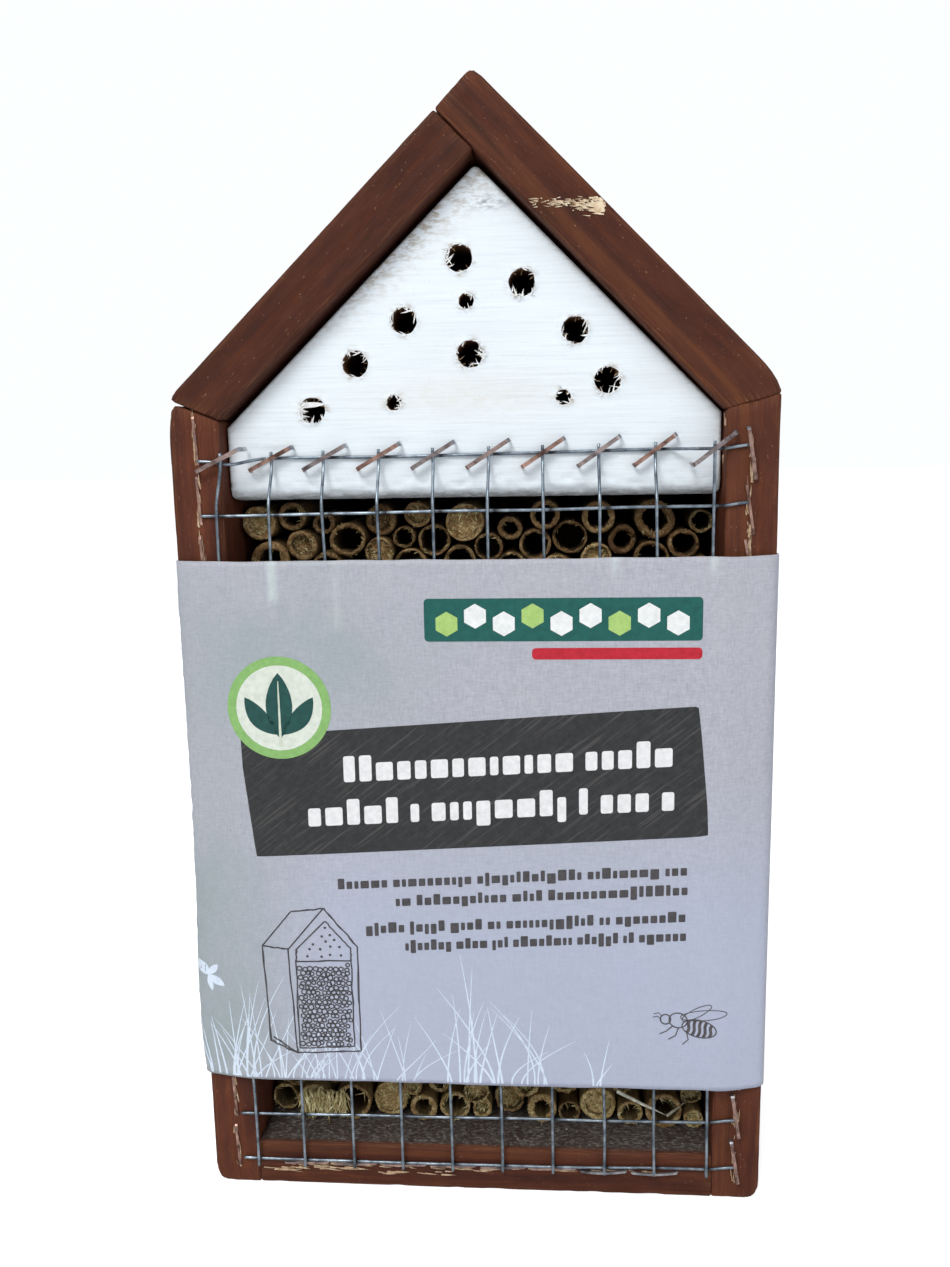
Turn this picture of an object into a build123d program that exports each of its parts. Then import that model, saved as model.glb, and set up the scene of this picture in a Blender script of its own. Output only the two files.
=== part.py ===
from build123d import *

import math
import os
import random

# An insect hotel shaped like a small house. The origin is the centre of the underside, +Z is up
# and the open front, with the wire mesh, faces -Y. All sizes are in millimetres.

# Wooden house
house_width = 139.0
left_eave_height = 199.4
apex_height = 268.2
apex_shift = 2.2
frame_depth = 86.0
board = 12.0
board_ease = 0.8
panel_thickness = 4.0
panel_inset = 0.6

# Painted block that fills the gable
block_recess = 5.0
block_underside = 175.8
block_side_gap = 0.3
block_roof_gap = 1.3
block_tip_radius = 2.0
block_lip_radius = 3.5
block_ease = 0.7
large_hole = 6.0
small_hole = 3.5
large_hole_depth = 60.0
small_hole_depth = 35.0
large_hole_places = [
    (-36.6, 196.4),
    (-26.2, 206.7),
    (-14.6, 216.0),
    (-1.8, 229.3),
    (0.3, 208.3),
    (12.3, 223.7),
    (24.1, 213.0),
    (31.5, 201.9),
]
small_hole_places = [(-17.5, 197.8), (-0.3, 220.0), (21.5, 198.3)]

# Bundle of hollow reeds
reed_recess = 15.0
reed_end_spread = 1.5
reed_back_gap = 0.6
reed_wall_share = 0.13
reed_gap = 0.06
reed_top_gap = 0.8
reed_step = 0.4
reed_tries = 25
narrow_reeds = (4.8, 7.0)
medium_reeds = (7.0, 8.4)
wide_reeds = (8.4, 10.2)

# Welded wire mesh
mesh_pitch = 12.7
mesh_wire = 0.85
mesh_columns = 10
mesh_rows = 15
mesh_offset = -1.65
mesh_top_row = 185.8
mesh_tilt = 0.4
mesh_overrun = 1.8
mesh_left_overrun = 3.4
mesh_right_overrun = 7.6
weld_depth = 0.1
mesh_bend_radius = 1.2
mesh_dip_outer = 53.7
mesh_dip_inner = 46.0
surface_gap = 0.05

# Staples
staple_width = 1.1
staple_thickness = 0.6
staple_crown = 12.0
staple_bend = 0.8
staple_leg = 9.0
gable_staple_slope = 25.5
gable_staple_turn = 1.35
gable_staple_shift = 1.7
side_staple_inset = 6.4
side_staple_lean = 5.0
side_staple_turn = 2.2
left_staple_count = 14
left_staple_top = 190.0
right_staple_count = 15
right_staple_top = 185.0
side_staple_bottom = 10.6
bottom_staple_drop = 1.6

# Nails and screws
pin_shank = 1.4
pin_head = 2.4
pin_length = 28.0
panel_nail_length = 16.0
panel_roof_shares = (0.85, 0.25)
panel_base_share = 0.62
block_nail_length = 34.0
block_nail_place = 31.0
head_thickness = 0.5
head_proud = 0.2
pin_inset = 22.0

# Hanger plate on the back
plate_width = 14.0
plate_height = 44.0
plate_thickness = 1.2
plate_centre = 214.0
hanging_hole = 6.5
pocket_width = 11.0
pocket_depth = 12.0
screw_spacing = 30.0
screw_shank = 2.6
screw_head = 5.0
screw_clearance = 3.1
screw_length = 14.0
cross_length = 3.0
cross_width = 0.6
cross_depth = 1.2

# Printed cardboard sleeve
sleeve_low = 31.5
sleeve_high = 162.3
card = 0.4
sleeve_side_gap = 0.2
sleeve_front_gap = 2.65
sleeve_back_gap = 1.6
sleeve_corner = 2.5
sleeve_flap = 18.0

# Places worked out from the sizes above
half_width = house_width / 2
inside_half = half_width - board
total_depth = frame_depth + panel_thickness
front = -total_depth / 2
frame_back = front + frame_depth
back = total_depth / 2
square_end = board / math.sqrt(2)
ridge_corner = (apex_shift - square_end, apex_height - square_end)
left_slope = math.atan2(ridge_corner[1] - left_eave_height, ridge_corner[0] + half_width)
block_face = front + block_recess
mesh_bottom_row = mesh_top_row - (mesh_rows - 1) * mesh_pitch


def roof_height(side, x, inset):
    """Height of a roof slope at x, moved inwards by an inset. The right slope is at 45 degrees."""
    if side < 0:
        rise = (x + half_width) * math.tan(left_slope)
        return left_eave_height + rise - inset / math.cos(left_slope)
    return apex_height + apex_shift - x - inset * math.sqrt(2)


def roof_meeting(inset):
    """Point where the two roof slopes meet, both moved inwards by an inset."""
    gap = roof_height(1, 0, inset) - roof_height(-1, 0, inset)
    x = gap / (1 + math.tan(left_slope))
    return (x, roof_height(1, x, inset))


def gable_outline(low, edge, inset):
    """House-shaped outline with its lower and side edges at given places and an inset from the roof."""
    return [
        (-edge, low),
        (edge, low),
        (edge, roof_height(1, edge, inset)),
        roof_meeting(inset),
        (-edge, roof_height(-1, -edge, inset)),
    ]


def prism(outline, y_low, y_high):
    """Solid whose end view is the outline of (x, z) points, from y_low to y_high."""
    points = [(x, y_low, z) for x, z in outline]
    face = make_face(Polyline(*points, close=True))
    return extrude(face, amount=y_high - y_low, dir=(0, 1, 0))


def rod(start, direction, length, diameter):
    """Round bar from a start point along a direction."""
    plane = Plane(origin=start, z_dir=direction)
    return extrude(plane * Circle(diameter / 2), amount=length)


def bent_wire(points, diameter, bend):
    """Round wire along straight runs joined by equal bends."""
    path = FilletPolyline(*points, radius=bend)
    section = Plane(origin=path @ 0, z_dir=path % 0) * Circle(diameter / 2)
    return sweep(section, path=path)


# ---------------------------------------------------------------- wooden house

def side_board(side):
    """Upright side board, mitred at the eave. side is -1 on the left and 1 on the right."""
    outline = [
        (side * inside_half, 0),
        (side * half_width, 0),
        (side * half_width, roof_height(side, side * half_width, 0)),
        (side * inside_half, roof_height(side, side * inside_half, board)),
    ]
    plank = prism(outline, front, frame_back)
    return fillet(plank.edges(), board_ease)


def bottom_board():
    """Floor between the side boards."""
    outline = [(-inside_half, 0), (inside_half, 0), (inside_half, board), (-inside_half, board)]
    plank = prism(outline, front, frame_back)
    return fillet(plank.edges(), board_ease)


def right_roof_board():
    """Roof board whose square end covers the end of its neighbour at the ridge."""
    outline = [
        (half_width, roof_height(1, half_width, 0)),
        (apex_shift, apex_height),
        ridge_corner,
        (inside_half, roof_height(1, inside_half, board)),
    ]
    plank = prism(outline, front, frame_back)
    return fillet(plank.edges(), board_ease)


def left_roof_board():
    """Roof board that butts against the inner face of the right one."""
    outline = [
        (-half_width, left_eave_height),
        ridge_corner,
        roof_meeting(board),
        (-inside_half, roof_height(-1, -inside_half, board)),
    ]
    plank = prism(outline, front, frame_back)
    return fillet(plank.edges(), board_ease)


def back_panel():
    """Thin plywood panel over the rear edges of the boards."""
    outline = gable_outline(panel_inset, half_width - panel_inset, panel_inset)
    return prism(outline, frame_back, back) - hanger_pocket()


def hanger_pocket():
    """Room for the head of a wall screw behind the hanging hole."""
    return rod((0, back + panel_thickness, plate_centre), (0, -1, 0), pocket_depth, pocket_width)


# ---------------------------------------------------------------- gable block

def gable_block():
    """Solid block under the roof, with its bored nest holes."""
    outline = gable_outline(block_underside, inside_half - block_side_gap, board + block_roof_gap)
    block = prism(outline, block_face, frame_back)
    lengthwise = block.edges().filter_by(Axis.Y)
    block = fillet(lengthwise.sort_by(Axis.Z)[-1], block_tip_radius)
    lower_front = block.edges().filter_by(Axis.X).group_by(Axis.Z)[0].sort_by(Axis.Y)[0]
    block = fillet(lower_front, block_lip_radius)
    slopes = block.faces().sort_by(Axis.Y)[0].edges()
    upper = [slope for slope in slopes if slope.center().Z > block_underside + 2 * block_lip_radius]
    block = fillet(upper, block_ease)
    for x, z in large_hole_places:
        block -= nest_hole(x, z, large_hole, large_hole_depth)
    for x, z in small_hole_places:
        block -= nest_hole(x, z, small_hole, small_hole_depth)
    return block - hanger_pocket()


def nest_hole(x, z, diameter, depth):
    """Blind hole bored from the block's face, with its conical drill point."""
    bore = rod((x, block_face - 1, z), (0, 1, 0), depth + 1, diameter)
    point = Plane(origin=(x, block_face + depth, z), z_dir=(0, 1, 0))
    cone = point * Cone(diameter / 2, 0.1, diameter / 3, align=(Align.CENTER, Align.CENTER, Align.MIN))
    return bore + cone


# ---------------------------------------------------------------- reeds

def resting_height(x, radius, placed):
    """Height at which a reed dropped at x comes to rest on the floor or on other reeds."""
    height = board + reed_gap + radius
    for other_x, other_z, other_radius in placed:
        reach = radius + other_radius + reed_gap
        offset = abs(x - other_x)
        if offset < reach:
            height = max(height, other_z + math.sqrt(reach * reach - offset * offset))
    return height


def stack_reeds(ceiling):
    """Drop reeds one by one into the lowest hollow until the space under the ceiling is full."""
    draw = random.Random(21)
    placed = []
    failures = 0
    while failures < reed_tries:
        low, high = draw.choice([narrow_reeds, medium_reeds, medium_reeds, wide_reeds])
        radius = draw.uniform(low, high) / 2
        room = inside_half - reed_gap - radius
        places = [-room + reed_step * i for i in range(int(2 * room / reed_step) + 1)]
        heights = [(resting_height(x, radius, placed), x) for x in places]
        z, x = min(heights)
        if z + radius > ceiling:
            failures += 1
        else:
            placed.append((x, z, radius))
    return placed


def reed(x, z, radius, setback):
    """One hollow reed, open at both ends."""
    start = (x, front + reed_recess + setback, z)
    length = frame_back - reed_back_gap - start[1]
    bore = radius * 2 * (1 - 2 * reed_wall_share)
    return rod(start, (0, 1, 0), length, radius * 2) - rod(start, (0, 1, 0), length, bore)


def reed_groups():
    """The whole bundle, sorted into narrow, medium and wide reeds."""
    draw = random.Random(4)
    groups = {"narrow_reeds": [], "medium_reeds": [], "wide_reeds": []}
    for x, z, radius in stack_reeds(block_underside - reed_top_gap):
        piece = reed(x, z, radius, draw.uniform(-reed_end_spread, reed_end_spread))
        if radius * 2 < narrow_reeds[1]:
            groups["narrow_reeds"].append(piece)
        elif radius * 2 < medium_reeds[1]:
            groups["medium_reeds"].append(piece)
        else:
            groups["wide_reeds"].append(piece)
    return groups


# ---------------------------------------------------------------- wire mesh

def on_mesh(x, y, z):
    """Turn a point of the upright mesh by the mesh's small tilt about its own middle."""
    middle = (mesh_top_row + mesh_bottom_row) / 2
    angle = math.radians(mesh_tilt)
    rise = z - middle
    turned_x = mesh_offset + x * math.cos(angle) - rise * math.sin(angle)
    turned_z = middle + x * math.sin(angle) + rise * math.cos(angle)
    return Vector(turned_x, y, turned_z)


def column_place(column):
    """Sideways place of a vertical wire, from the middle of the mesh."""
    return (column - (mesh_columns - 1) / 2) * mesh_pitch


def row_depth(face):
    """Depth of the axis of a horizontal wire that lies on a face."""
    return face - surface_gap - mesh_wire / 2


def column_depth(face):
    """Depth of the axis of a vertical wire, welded in front of the horizontal ones."""
    return row_depth(face) - mesh_wire + weld_depth


def vertical_wire(column):
    """Wire that runs up the front. All but the two outer ones bend back onto the gable block."""
    x = column_place(column)
    foot = on_mesh(x, column_depth(front), mesh_bottom_row - mesh_overrun)
    if abs(x) > mesh_dip_inner:
        head = on_mesh(x, column_depth(front), mesh_top_row + mesh_overrun)
        return rod(foot, head - foot, (head - foot).length, mesh_wire)
    points = [
        foot,
        on_mesh(x, column_depth(front), mesh_top_row - mesh_pitch + mesh_wire),
        on_mesh(x, column_depth(block_face), mesh_top_row - mesh_wire),
        on_mesh(x, column_depth(block_face), mesh_top_row + mesh_overrun),
    ]
    return bent_wire(points, mesh_wire, mesh_bend_radius)


def horizontal_wire(row):
    """Straight wire across the front, or the top one, which dips onto the gable block."""
    z = mesh_top_row - row * mesh_pitch
    left_end = column_place(0) - mesh_left_overrun
    right_end = column_place(mesh_columns - 1) + mesh_right_overrun
    if row > 0:
        start = on_mesh(left_end, row_depth(front), z)
        finish = on_mesh(right_end, row_depth(front), z)
        return rod(start, finish - start, right_end - left_end, mesh_wire)
    points = [
        on_mesh(left_end, row_depth(front), z),
        on_mesh(-mesh_dip_outer, row_depth(front), z),
        on_mesh(-mesh_dip_inner, row_depth(block_face), z),
        on_mesh(mesh_dip_inner, row_depth(block_face), z),
        on_mesh(mesh_dip_outer, row_depth(front), z),
        on_mesh(right_end, row_depth(front), z),
    ]
    return bent_wire(points, mesh_wire, mesh_bend_radius)


# ---------------------------------------------------------------- staples and nails

def staple(x, depth, z, slope):
    """Flat-wire staple with the middle of its crown at a point and its legs driven in along +Y."""
    angle = math.radians(slope)
    half_crown = (staple_crown - staple_thickness) / 2
    run = half_crown * math.cos(angle)
    rise = half_crown * math.sin(angle)
    points = [
        (x - run, depth + staple_leg, z - rise),
        (x - run, depth, z - rise),
        (x + run, depth, z + rise),
        (x + run, depth + staple_leg, z + rise),
    ]
    path = FilletPolyline(*points, radius=staple_bend)
    across = (-math.sin(angle), 0, math.cos(angle))
    plane = Plane(origin=path @ 0, x_dir=across, z_dir=path % 0)
    return sweep(plane * Rectangle(staple_width, staple_thickness), path=path)


def over_wire(wire_depth):
    """Depth of the middle of a crown that lies in front of a wire."""
    return wire_depth - mesh_wire / 2 - surface_gap - staple_thickness / 2


def gable_staples():
    """Slanted staples over the top crossings of the mesh, steeper from left to right."""
    pieces = []
    for column in range(mesh_columns):
        across = column_place(column)
        face = block_face if abs(across) < mesh_dip_inner else front
        shift = gable_staple_shift if across < -mesh_dip_inner else 0
        spot = on_mesh(across + shift, over_wire(column_depth(face)), mesh_top_row)
        pieces.append(staple(*spot, gable_staple_slope + gable_staple_turn * column))
    return pieces


def side_staples(side):
    """Nearly upright staples down one side board, over the ends of the horizontal wires."""
    pieces = []
    count, top = (left_staple_count, left_staple_top)
    if side > 0:
        count, top = (right_staple_count, right_staple_top)
    spacing = (top - side_staple_bottom) / (count - 1)
    for step in range(count):
        x = side * (half_width - side_staple_inset)
        z = top - step * spacing
        lean = 90 + side_staple_lean * math.cos(step * side_staple_turn + side)
        pieces.append(staple(x, over_wire(row_depth(front)), z, lean))
    return pieces


def bottom_staples():
    """Level staples along the bottom board, one over the foot of each inner vertical wire."""
    pieces = []
    for column in range(mesh_columns):
        depth = over_wire(column_depth(front))
        spot = on_mesh(column_place(column), depth, mesh_bottom_row - bottom_staple_drop)
        if abs(spot.X) < inside_half - staple_crown / 2:
            pieces.append(staple(*spot, mesh_tilt))
    return pieces


def nail(surface_point, direction, length):
    """Thin nail with a small flat head, driven in from a surface point."""
    inward = Vector(*direction).normalized()
    top = Vector(*surface_point) - inward * head_proud
    shank = rod(top, inward, length, pin_shank)
    return shank + rod(top, inward, head_thickness, pin_head)


def pin_depths():
    """The two places along the depth where the frame boards are nailed."""
    return [front + pin_inset, frame_back - pin_inset]


def base_nails():
    """Nails through the side boards into the ends of the bottom board."""
    return [
        nail((side * half_width, y, board / 2), (-side, 0, 0), pin_length)
        for side in (-1, 1)
        for y in pin_depths()
    ]


def eave_nails():
    """Nails from the roof down into the upper ends of the side boards."""
    middle = half_width - board / 2
    return [
        nail((side * middle, y, roof_height(side, side * middle, 0)), (0, 0, -1), pin_length)
        for side in (-1, 1)
        for y in pin_depths()
    ]


def ridge_nails():
    """Nails through the right roof board into the end of the left one."""
    x = apex_shift + square_end / 2
    return [nail((x, y, roof_height(1, x, 0)), (-1, 0, -1), pin_length) for y in pin_depths()]


def block_nails():
    """Nails through the roof boards into the gable block, clear of the nest holes."""
    return [
        nail((x, y, roof_height(x, x, 0)), (-x, 0, -abs(x)), block_nail_length)
        for x in (-block_nail_place, block_nail_place)
        for y in pin_depths()
    ]


def panel_nails():
    """Nails that hold the back panel to the rear edges of the boards."""
    edge = half_width - board / 2
    places = [(0, board / 2)]
    for side in (-1, 1):
        heights = (pin_inset, left_eave_height / 2, left_eave_height - pin_inset)
        places += [(side * edge, z) for z in heights]
        places.append((side * edge * panel_base_share, board / 2))
        for share in panel_roof_shares:
            x = side * edge * share
            places.append((x, roof_height(side, x, board / 2)))
    return [nail((x, back, z), (0, -1, 0), panel_nail_length) for x, z in places]


# ---------------------------------------------------------------- hanger

def screw_heights():
    """Heights of the two screws that hold the hanger plate."""
    return [plate_centre - screw_spacing / 2, plate_centre + screw_spacing / 2]


def countersink(z, widening):
    """Cone of a screw head, flush with the plate's outer face."""
    seat = Plane(origin=(0, back + plate_thickness, z), z_dir=(0, -1, 0))
    cone = Cone(
        screw_head / 2 + widening,
        screw_shank / 2 + widening,
        plate_thickness,
        align=(Align.CENTER, Align.CENTER, Align.MIN),
    )
    return seat * cone


def hanger_plate():
    """Flat plate with a hanging hole and two countersunk screw holes."""
    face = Plane(origin=(0, back, plate_centre), x_dir=(0, 0, 1), z_dir=(0, 1, 0))
    plate = extrude(face * SlotOverall(plate_height, plate_width), amount=plate_thickness)
    plate -= rod((0, back - 1, plate_centre), (0, 1, 0), plate_thickness + 2, hanging_hole)
    for z in screw_heights():
        plate -= countersink(z, surface_gap)
        plate -= rod((0, back - 1, z), (0, 1, 0), plate_thickness + 2, screw_clearance)
    return plate


def hanger_screws():
    """Countersunk screws with a cross recess."""
    pieces = []
    for z in screw_heights():
        top = (0, back + plate_thickness, z)
        screw = countersink(z, 0) + rod(top, (0, -1, 0), screw_length, screw_shank)
        level_slot = Box(cross_length, cross_depth, cross_width)
        upright_slot = Box(cross_width, cross_depth, cross_length)
        pieces.append(screw - Pos(top) * (level_slot + upright_slot))
    return pieces


# ---------------------------------------------------------------- sleeve

def sleeve_outline(offset):
    """Rounded rectangle around the house, grown outwards by an offset."""
    width = 2 * (half_width + sleeve_side_gap + offset)
    y_low = front - sleeve_front_gap - offset
    y_high = back + sleeve_back_gap + offset
    shape = RectangleRounded(width, y_high - y_low, sleeve_corner + offset)
    return Pos(0, (y_low + y_high) / 2, sleeve_low) * shape


def cardboard_sleeve():
    """Band of card that wraps the house, with its ends glued over each other at the back."""
    height = sleeve_high - sleeve_low
    band = extrude(sleeve_outline(card) - sleeve_outline(0), amount=height)
    flap_depth = back + sleeve_back_gap + card * 1.5
    flap = Pos(half_width / 2, flap_depth, sleeve_low + height / 2) * Box(sleeve_flap, card, height)
    return band + flap


# ---------------------------------------------------------------- files

def assembly():
    """Every sub-part by name. A list is a group of separate equal pieces."""
    pieces = {
        "bottom_board": bottom_board(),
        "left_side_board": side_board(-1),
        "right_side_board": side_board(1),
        "left_roof_board": left_roof_board(),
        "right_roof_board": right_roof_board(),
        "back_panel": back_panel(),
        "gable_block": gable_block(),
        "mesh_vertical_wires": [vertical_wire(column) for column in range(mesh_columns)],
        "mesh_horizontal_wires": [horizontal_wire(row) for row in range(mesh_rows)],
        "gable_staples": gable_staples(),
        "left_side_staples": side_staples(-1),
        "right_side_staples": side_staples(1),
        "bottom_staples": bottom_staples(),
        "base_nails": base_nails(),
        "eave_nails": eave_nails(),
        "ridge_nails": ridge_nails(),
        "block_nails": block_nails(),
        "back_panel_nails": panel_nails(),
        "hanger_plate": hanger_plate(),
        "hanger_screws": hanger_screws(),
        "cardboard_sleeve": cardboard_sleeve(),
    }
    pieces.update(reed_groups())
    return pieces


os.makedirs("parts", exist_ok=True)
for name, shape in assembly().items():
    if isinstance(shape, list):
        shape = Compound(children=[Solid(piece.solid().wrapped) for piece in shape])
    export_step(shape, f"parts/{name}.step")
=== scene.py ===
import math
import random

import bpy
import numpy as np
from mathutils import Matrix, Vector, geometry, noise


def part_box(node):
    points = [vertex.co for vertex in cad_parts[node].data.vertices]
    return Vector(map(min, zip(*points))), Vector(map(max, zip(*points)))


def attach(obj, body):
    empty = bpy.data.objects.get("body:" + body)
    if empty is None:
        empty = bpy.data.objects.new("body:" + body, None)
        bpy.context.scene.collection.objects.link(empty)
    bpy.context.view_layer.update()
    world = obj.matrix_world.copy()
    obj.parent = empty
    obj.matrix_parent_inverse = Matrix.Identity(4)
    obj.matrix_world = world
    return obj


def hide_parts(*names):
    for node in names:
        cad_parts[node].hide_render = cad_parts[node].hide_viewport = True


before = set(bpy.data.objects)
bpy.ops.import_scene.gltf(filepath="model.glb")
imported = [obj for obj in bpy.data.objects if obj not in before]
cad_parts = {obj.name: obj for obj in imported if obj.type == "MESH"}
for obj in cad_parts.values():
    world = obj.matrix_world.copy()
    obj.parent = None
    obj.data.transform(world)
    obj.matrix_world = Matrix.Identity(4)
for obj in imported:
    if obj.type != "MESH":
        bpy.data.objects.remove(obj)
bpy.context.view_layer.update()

# Meshes are worked out in millimetres and stored in metres.
MM = 0.001


def limits(node):
    """Lowest and highest corner of a CAD node, in millimetres."""
    low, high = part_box(node)
    return np.array(low) / MM, np.array(high) / MM


side_low, side_high = limits("right_side_board")
roof_low, roof_high = limits("right_roof_board")
sleeve_low, sleeve_high = limits("cardboard_sleeve")
block_low, block_high = limits("gable_block")

FRONT = side_low[1]
FRAME_BACK = side_high[1]
HALF_WIDTH = side_high[0]
INSIDE_HALF = side_low[0]
BOARD = HALF_WIDTH - INSIDE_HALF
BLOCK_FACE = block_low[1]

# The CAD boards have rounded edges, so their sharp corners lie a little outside their boxes.
EASE = 0.8
HIDDEN_RIDGE = EASE * (math.sqrt(2) - 1)
HIDDEN_EAVE = 0.52 * EASE
LEFT_EAVE = limits("left_side_board")[1][2] + HIDDEN_EAVE
APEX_Z = roof_high[2] + HIDDEN_RIDGE
RIDGE_CORNER = (roof_low[0] - HIDDEN_RIDGE, APEX_Z - BOARD / math.sqrt(2))
APEX_X = RIDGE_CORNER[0] + BOARD / math.sqrt(2)
LEFT_SLOPE = math.atan2(RIDGE_CORNER[1] - LEFT_EAVE, RIDGE_CORNER[0] + HALF_WIDTH)


def roof_height(side, x, inset=0.0):
    """Height of a roof slope at x, moved inwards by an inset. The right slope is at 45 degrees."""
    if side < 0:
        return LEFT_EAVE + (x + HALF_WIDTH) * math.tan(LEFT_SLOPE) - inset / math.cos(LEFT_SLOPE)
    return APEX_Z + APEX_X - x - inset * math.sqrt(2)


def roof_meeting(inset):
    """Point where the two roof slopes meet, both moved inwards by an inset."""
    x = (roof_height(1, 0, inset) - roof_height(-1, 0, inset)) / (1 + math.tan(LEFT_SLOPE))
    return (x, roof_height(1, x, inset))


# ---------------------------------------------------------------- number and mesh helpers

def smooth(value, low=0.0, high=1.0):
    """Soft step from 0 to 1 between two limits. The value may be a number or an array."""
    share = np.clip((value - low) / (high - low), 0.0, 1.0)
    return share * share * (3 - 2 * share)


def rough(x, y=0.0, z=0.0):
    """One layer of noise at a point."""
    return noise.noise(Vector((x, y, z)))


def fbm(x, y, z, octaves=2):
    """Layered noise, about -1 to 1."""
    return sum(0.5 ** n * rough(x * 2.0 ** n, y * 2.0 ** n, z * 2.0 ** n) for n in range(octaves))


def hump(value, middle, reach):
    """Bell-shaped rise from 0 to 1 at the middle. The value may be a number or an array."""
    return np.exp(-((value - middle) / reach) ** 2)


def part_way(a, b, share, shift_x=0.0, shift_z=0.0):
    """Point of the front view at a share of the way from a to b, with a shift."""
    return (a[0] + (b[0] - a[0]) * share + shift_x, a[1] + (b[1] - a[1]) * share + shift_z)


def turned_point(middle, x, z, angle):
    """Point at (x, z) from a middle in the front view, turned by an angle."""
    cos, sin = math.cos(angle), math.sin(angle)
    return (middle[0] + x * cos - z * sin, middle[1] + x * sin + z * cos)


def new_piece(name, body, points, faces, materials, kinds=None, node=None, soft=True, values=None):
    """Shown mesh from points in millimetres. values holds one list of numbers or vectors per attribute."""
    mesh = bpy.data.meshes.new(name)
    mesh.from_pydata((np.asarray(points, float) * MM).tolist(), [], [list(map(int, f)) for f in faces])
    for material in materials:
        mesh.materials.append(material)
    if kinds is not None:
        mesh.polygons.foreach_set("material_index", np.asarray(kinds, np.int32))
    mesh.polygons.foreach_set("use_smooth", [soft] * len(mesh.polygons))
    for key, data in (values or {}).items():
        data = np.asarray(data, np.float32)
        kind, field = ("FLOAT_VECTOR", "vector") if data.ndim == 2 else ("FLOAT", "value")
        mesh.attributes.new(key, kind, "POINT").data.foreach_set(field, data.ravel())
    mesh.validate()
    mesh.update()
    piece = bpy.data.objects.new(name, mesh)
    bpy.context.scene.collection.objects.link(piece)
    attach(piece, body)
    if node:
        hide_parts(node)


def loose_parts(node):
    """Lowest and highest corner of each separate solid in a CAD node, in millimetres."""
    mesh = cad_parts[node].data
    places = np.zeros(len(mesh.vertices) * 3)
    mesh.vertices.foreach_get("co", places)
    places = places.reshape(-1, 3)
    _, shared = np.unique(np.round(places, 7), axis=0, return_inverse=True)
    shared = shared.ravel()
    ends = np.zeros(len(mesh.edges) * 2, np.int64)
    mesh.edges.foreach_get("vertices", ends)
    pairs = shared[ends].reshape(-1, 2)
    label = np.arange(shared.max() + 1)
    while True:
        before = label.copy()
        lowest = np.minimum(label[pairs[:, 0]], label[pairs[:, 1]])
        np.minimum.at(label, pairs[:, 0], lowest)
        np.minimum.at(label, pairs[:, 1], lowest)
        label = label[label]
        if (label == before).all():
            break
    owner = label[shared]
    groups = [places[owner == part] / MM for part in np.unique(owner)]
    return [(own.min(0), own.max(0)) for own in groups]


def number_rings(start, count, rows):
    """Point numbers of some rows of closed rings, all with the same count."""
    return [list(range(start + row * count, start + (row + 1) * count)) for row in range(rows)]


def skin(rings):
    """Quads between each closed ring of point numbers and the next."""
    faces = []
    for low, high in zip(rings, rings[1:]):
        faces += [(low[k - 1], low[k], high[k], high[k - 1]) for k in range(len(low))]
    return faces


def fan(ring, tip):
    """Triangles from a closed ring to one point."""
    return [(ring[k - 1], ring[k], tip) for k in range(len(ring))]


def spoke(angle):
    """Unit vector at an angle in the front view."""
    return np.array([math.cos(angle), 0, math.sin(angle)])


def sideways(out):
    """A vector of the front view, turned by a quarter."""
    return np.array([-out[2], 0, out[0]])


SQUARE = ((-1, -1), (1, -1), (1, 1), (-1, 1))


class Bits:
    """Collects many small closed bits, such as fibres and chips, into one mesh."""

    def __init__(self):
        self.points = []
        self.faces = []
        self.tone = []

    def sliver(self, base, tip, width, thickness, side, bow=0.0, tone=0.5):
        """Tapered fibre from base to tip, bowed sideways in the middle."""
        base, tip, side = (np.array(p, float) for p in (base, tip, side))
        along = tip - base
        side = side - along * (side @ along) / max(along @ along, 1e-9)
        side = side / max(np.linalg.norm(side), 1e-9)
        up = np.cross(along, side)
        up = up / max(np.linalg.norm(up), 1e-9)
        low, high = number_rings(len(self.points), 4, 2)
        for share, size in ((0.0, 1.0), (0.55, 0.75)):
            middle = base + along * share + up * bow * math.sin(math.pi * share)
            self.points += [middle + side * a * width * size / 2 + up * b * thickness * size / 2
                            for a, b in SQUARE]
        self.points.append(tip)
        self.faces += [low[::-1]] + skin([low, high]) + fan(high, high[-1] + 1)
        self.tone += [tone] * 9

    def chip(self, centre, size, draw, tone=0.5):
        """Small irregular lump with six corners."""
        start = len(self.points)
        for axis in range(3):
            for sign in (-1, 1):
                corner = np.array(centre, float)
                corner[axis] += sign * size[axis] * draw.uniform(0.6, 1.2)
                self.points.append(corner)
        x0, x1, y0, y1, z0, z1 = range(start, start + 6)
        self.faces += fan([x0, y0, x1, y1], z1) + fan([y1, x1, y0, x0], z0)
        self.tone += [tone] * 6

    def build(self, name, slot, material):
        new_piece(name, "house", self.points, self.faces, [material], soft=False,
                  values={"tone": self.tone})


# ---------------------------------------------------------------- material helpers

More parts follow.
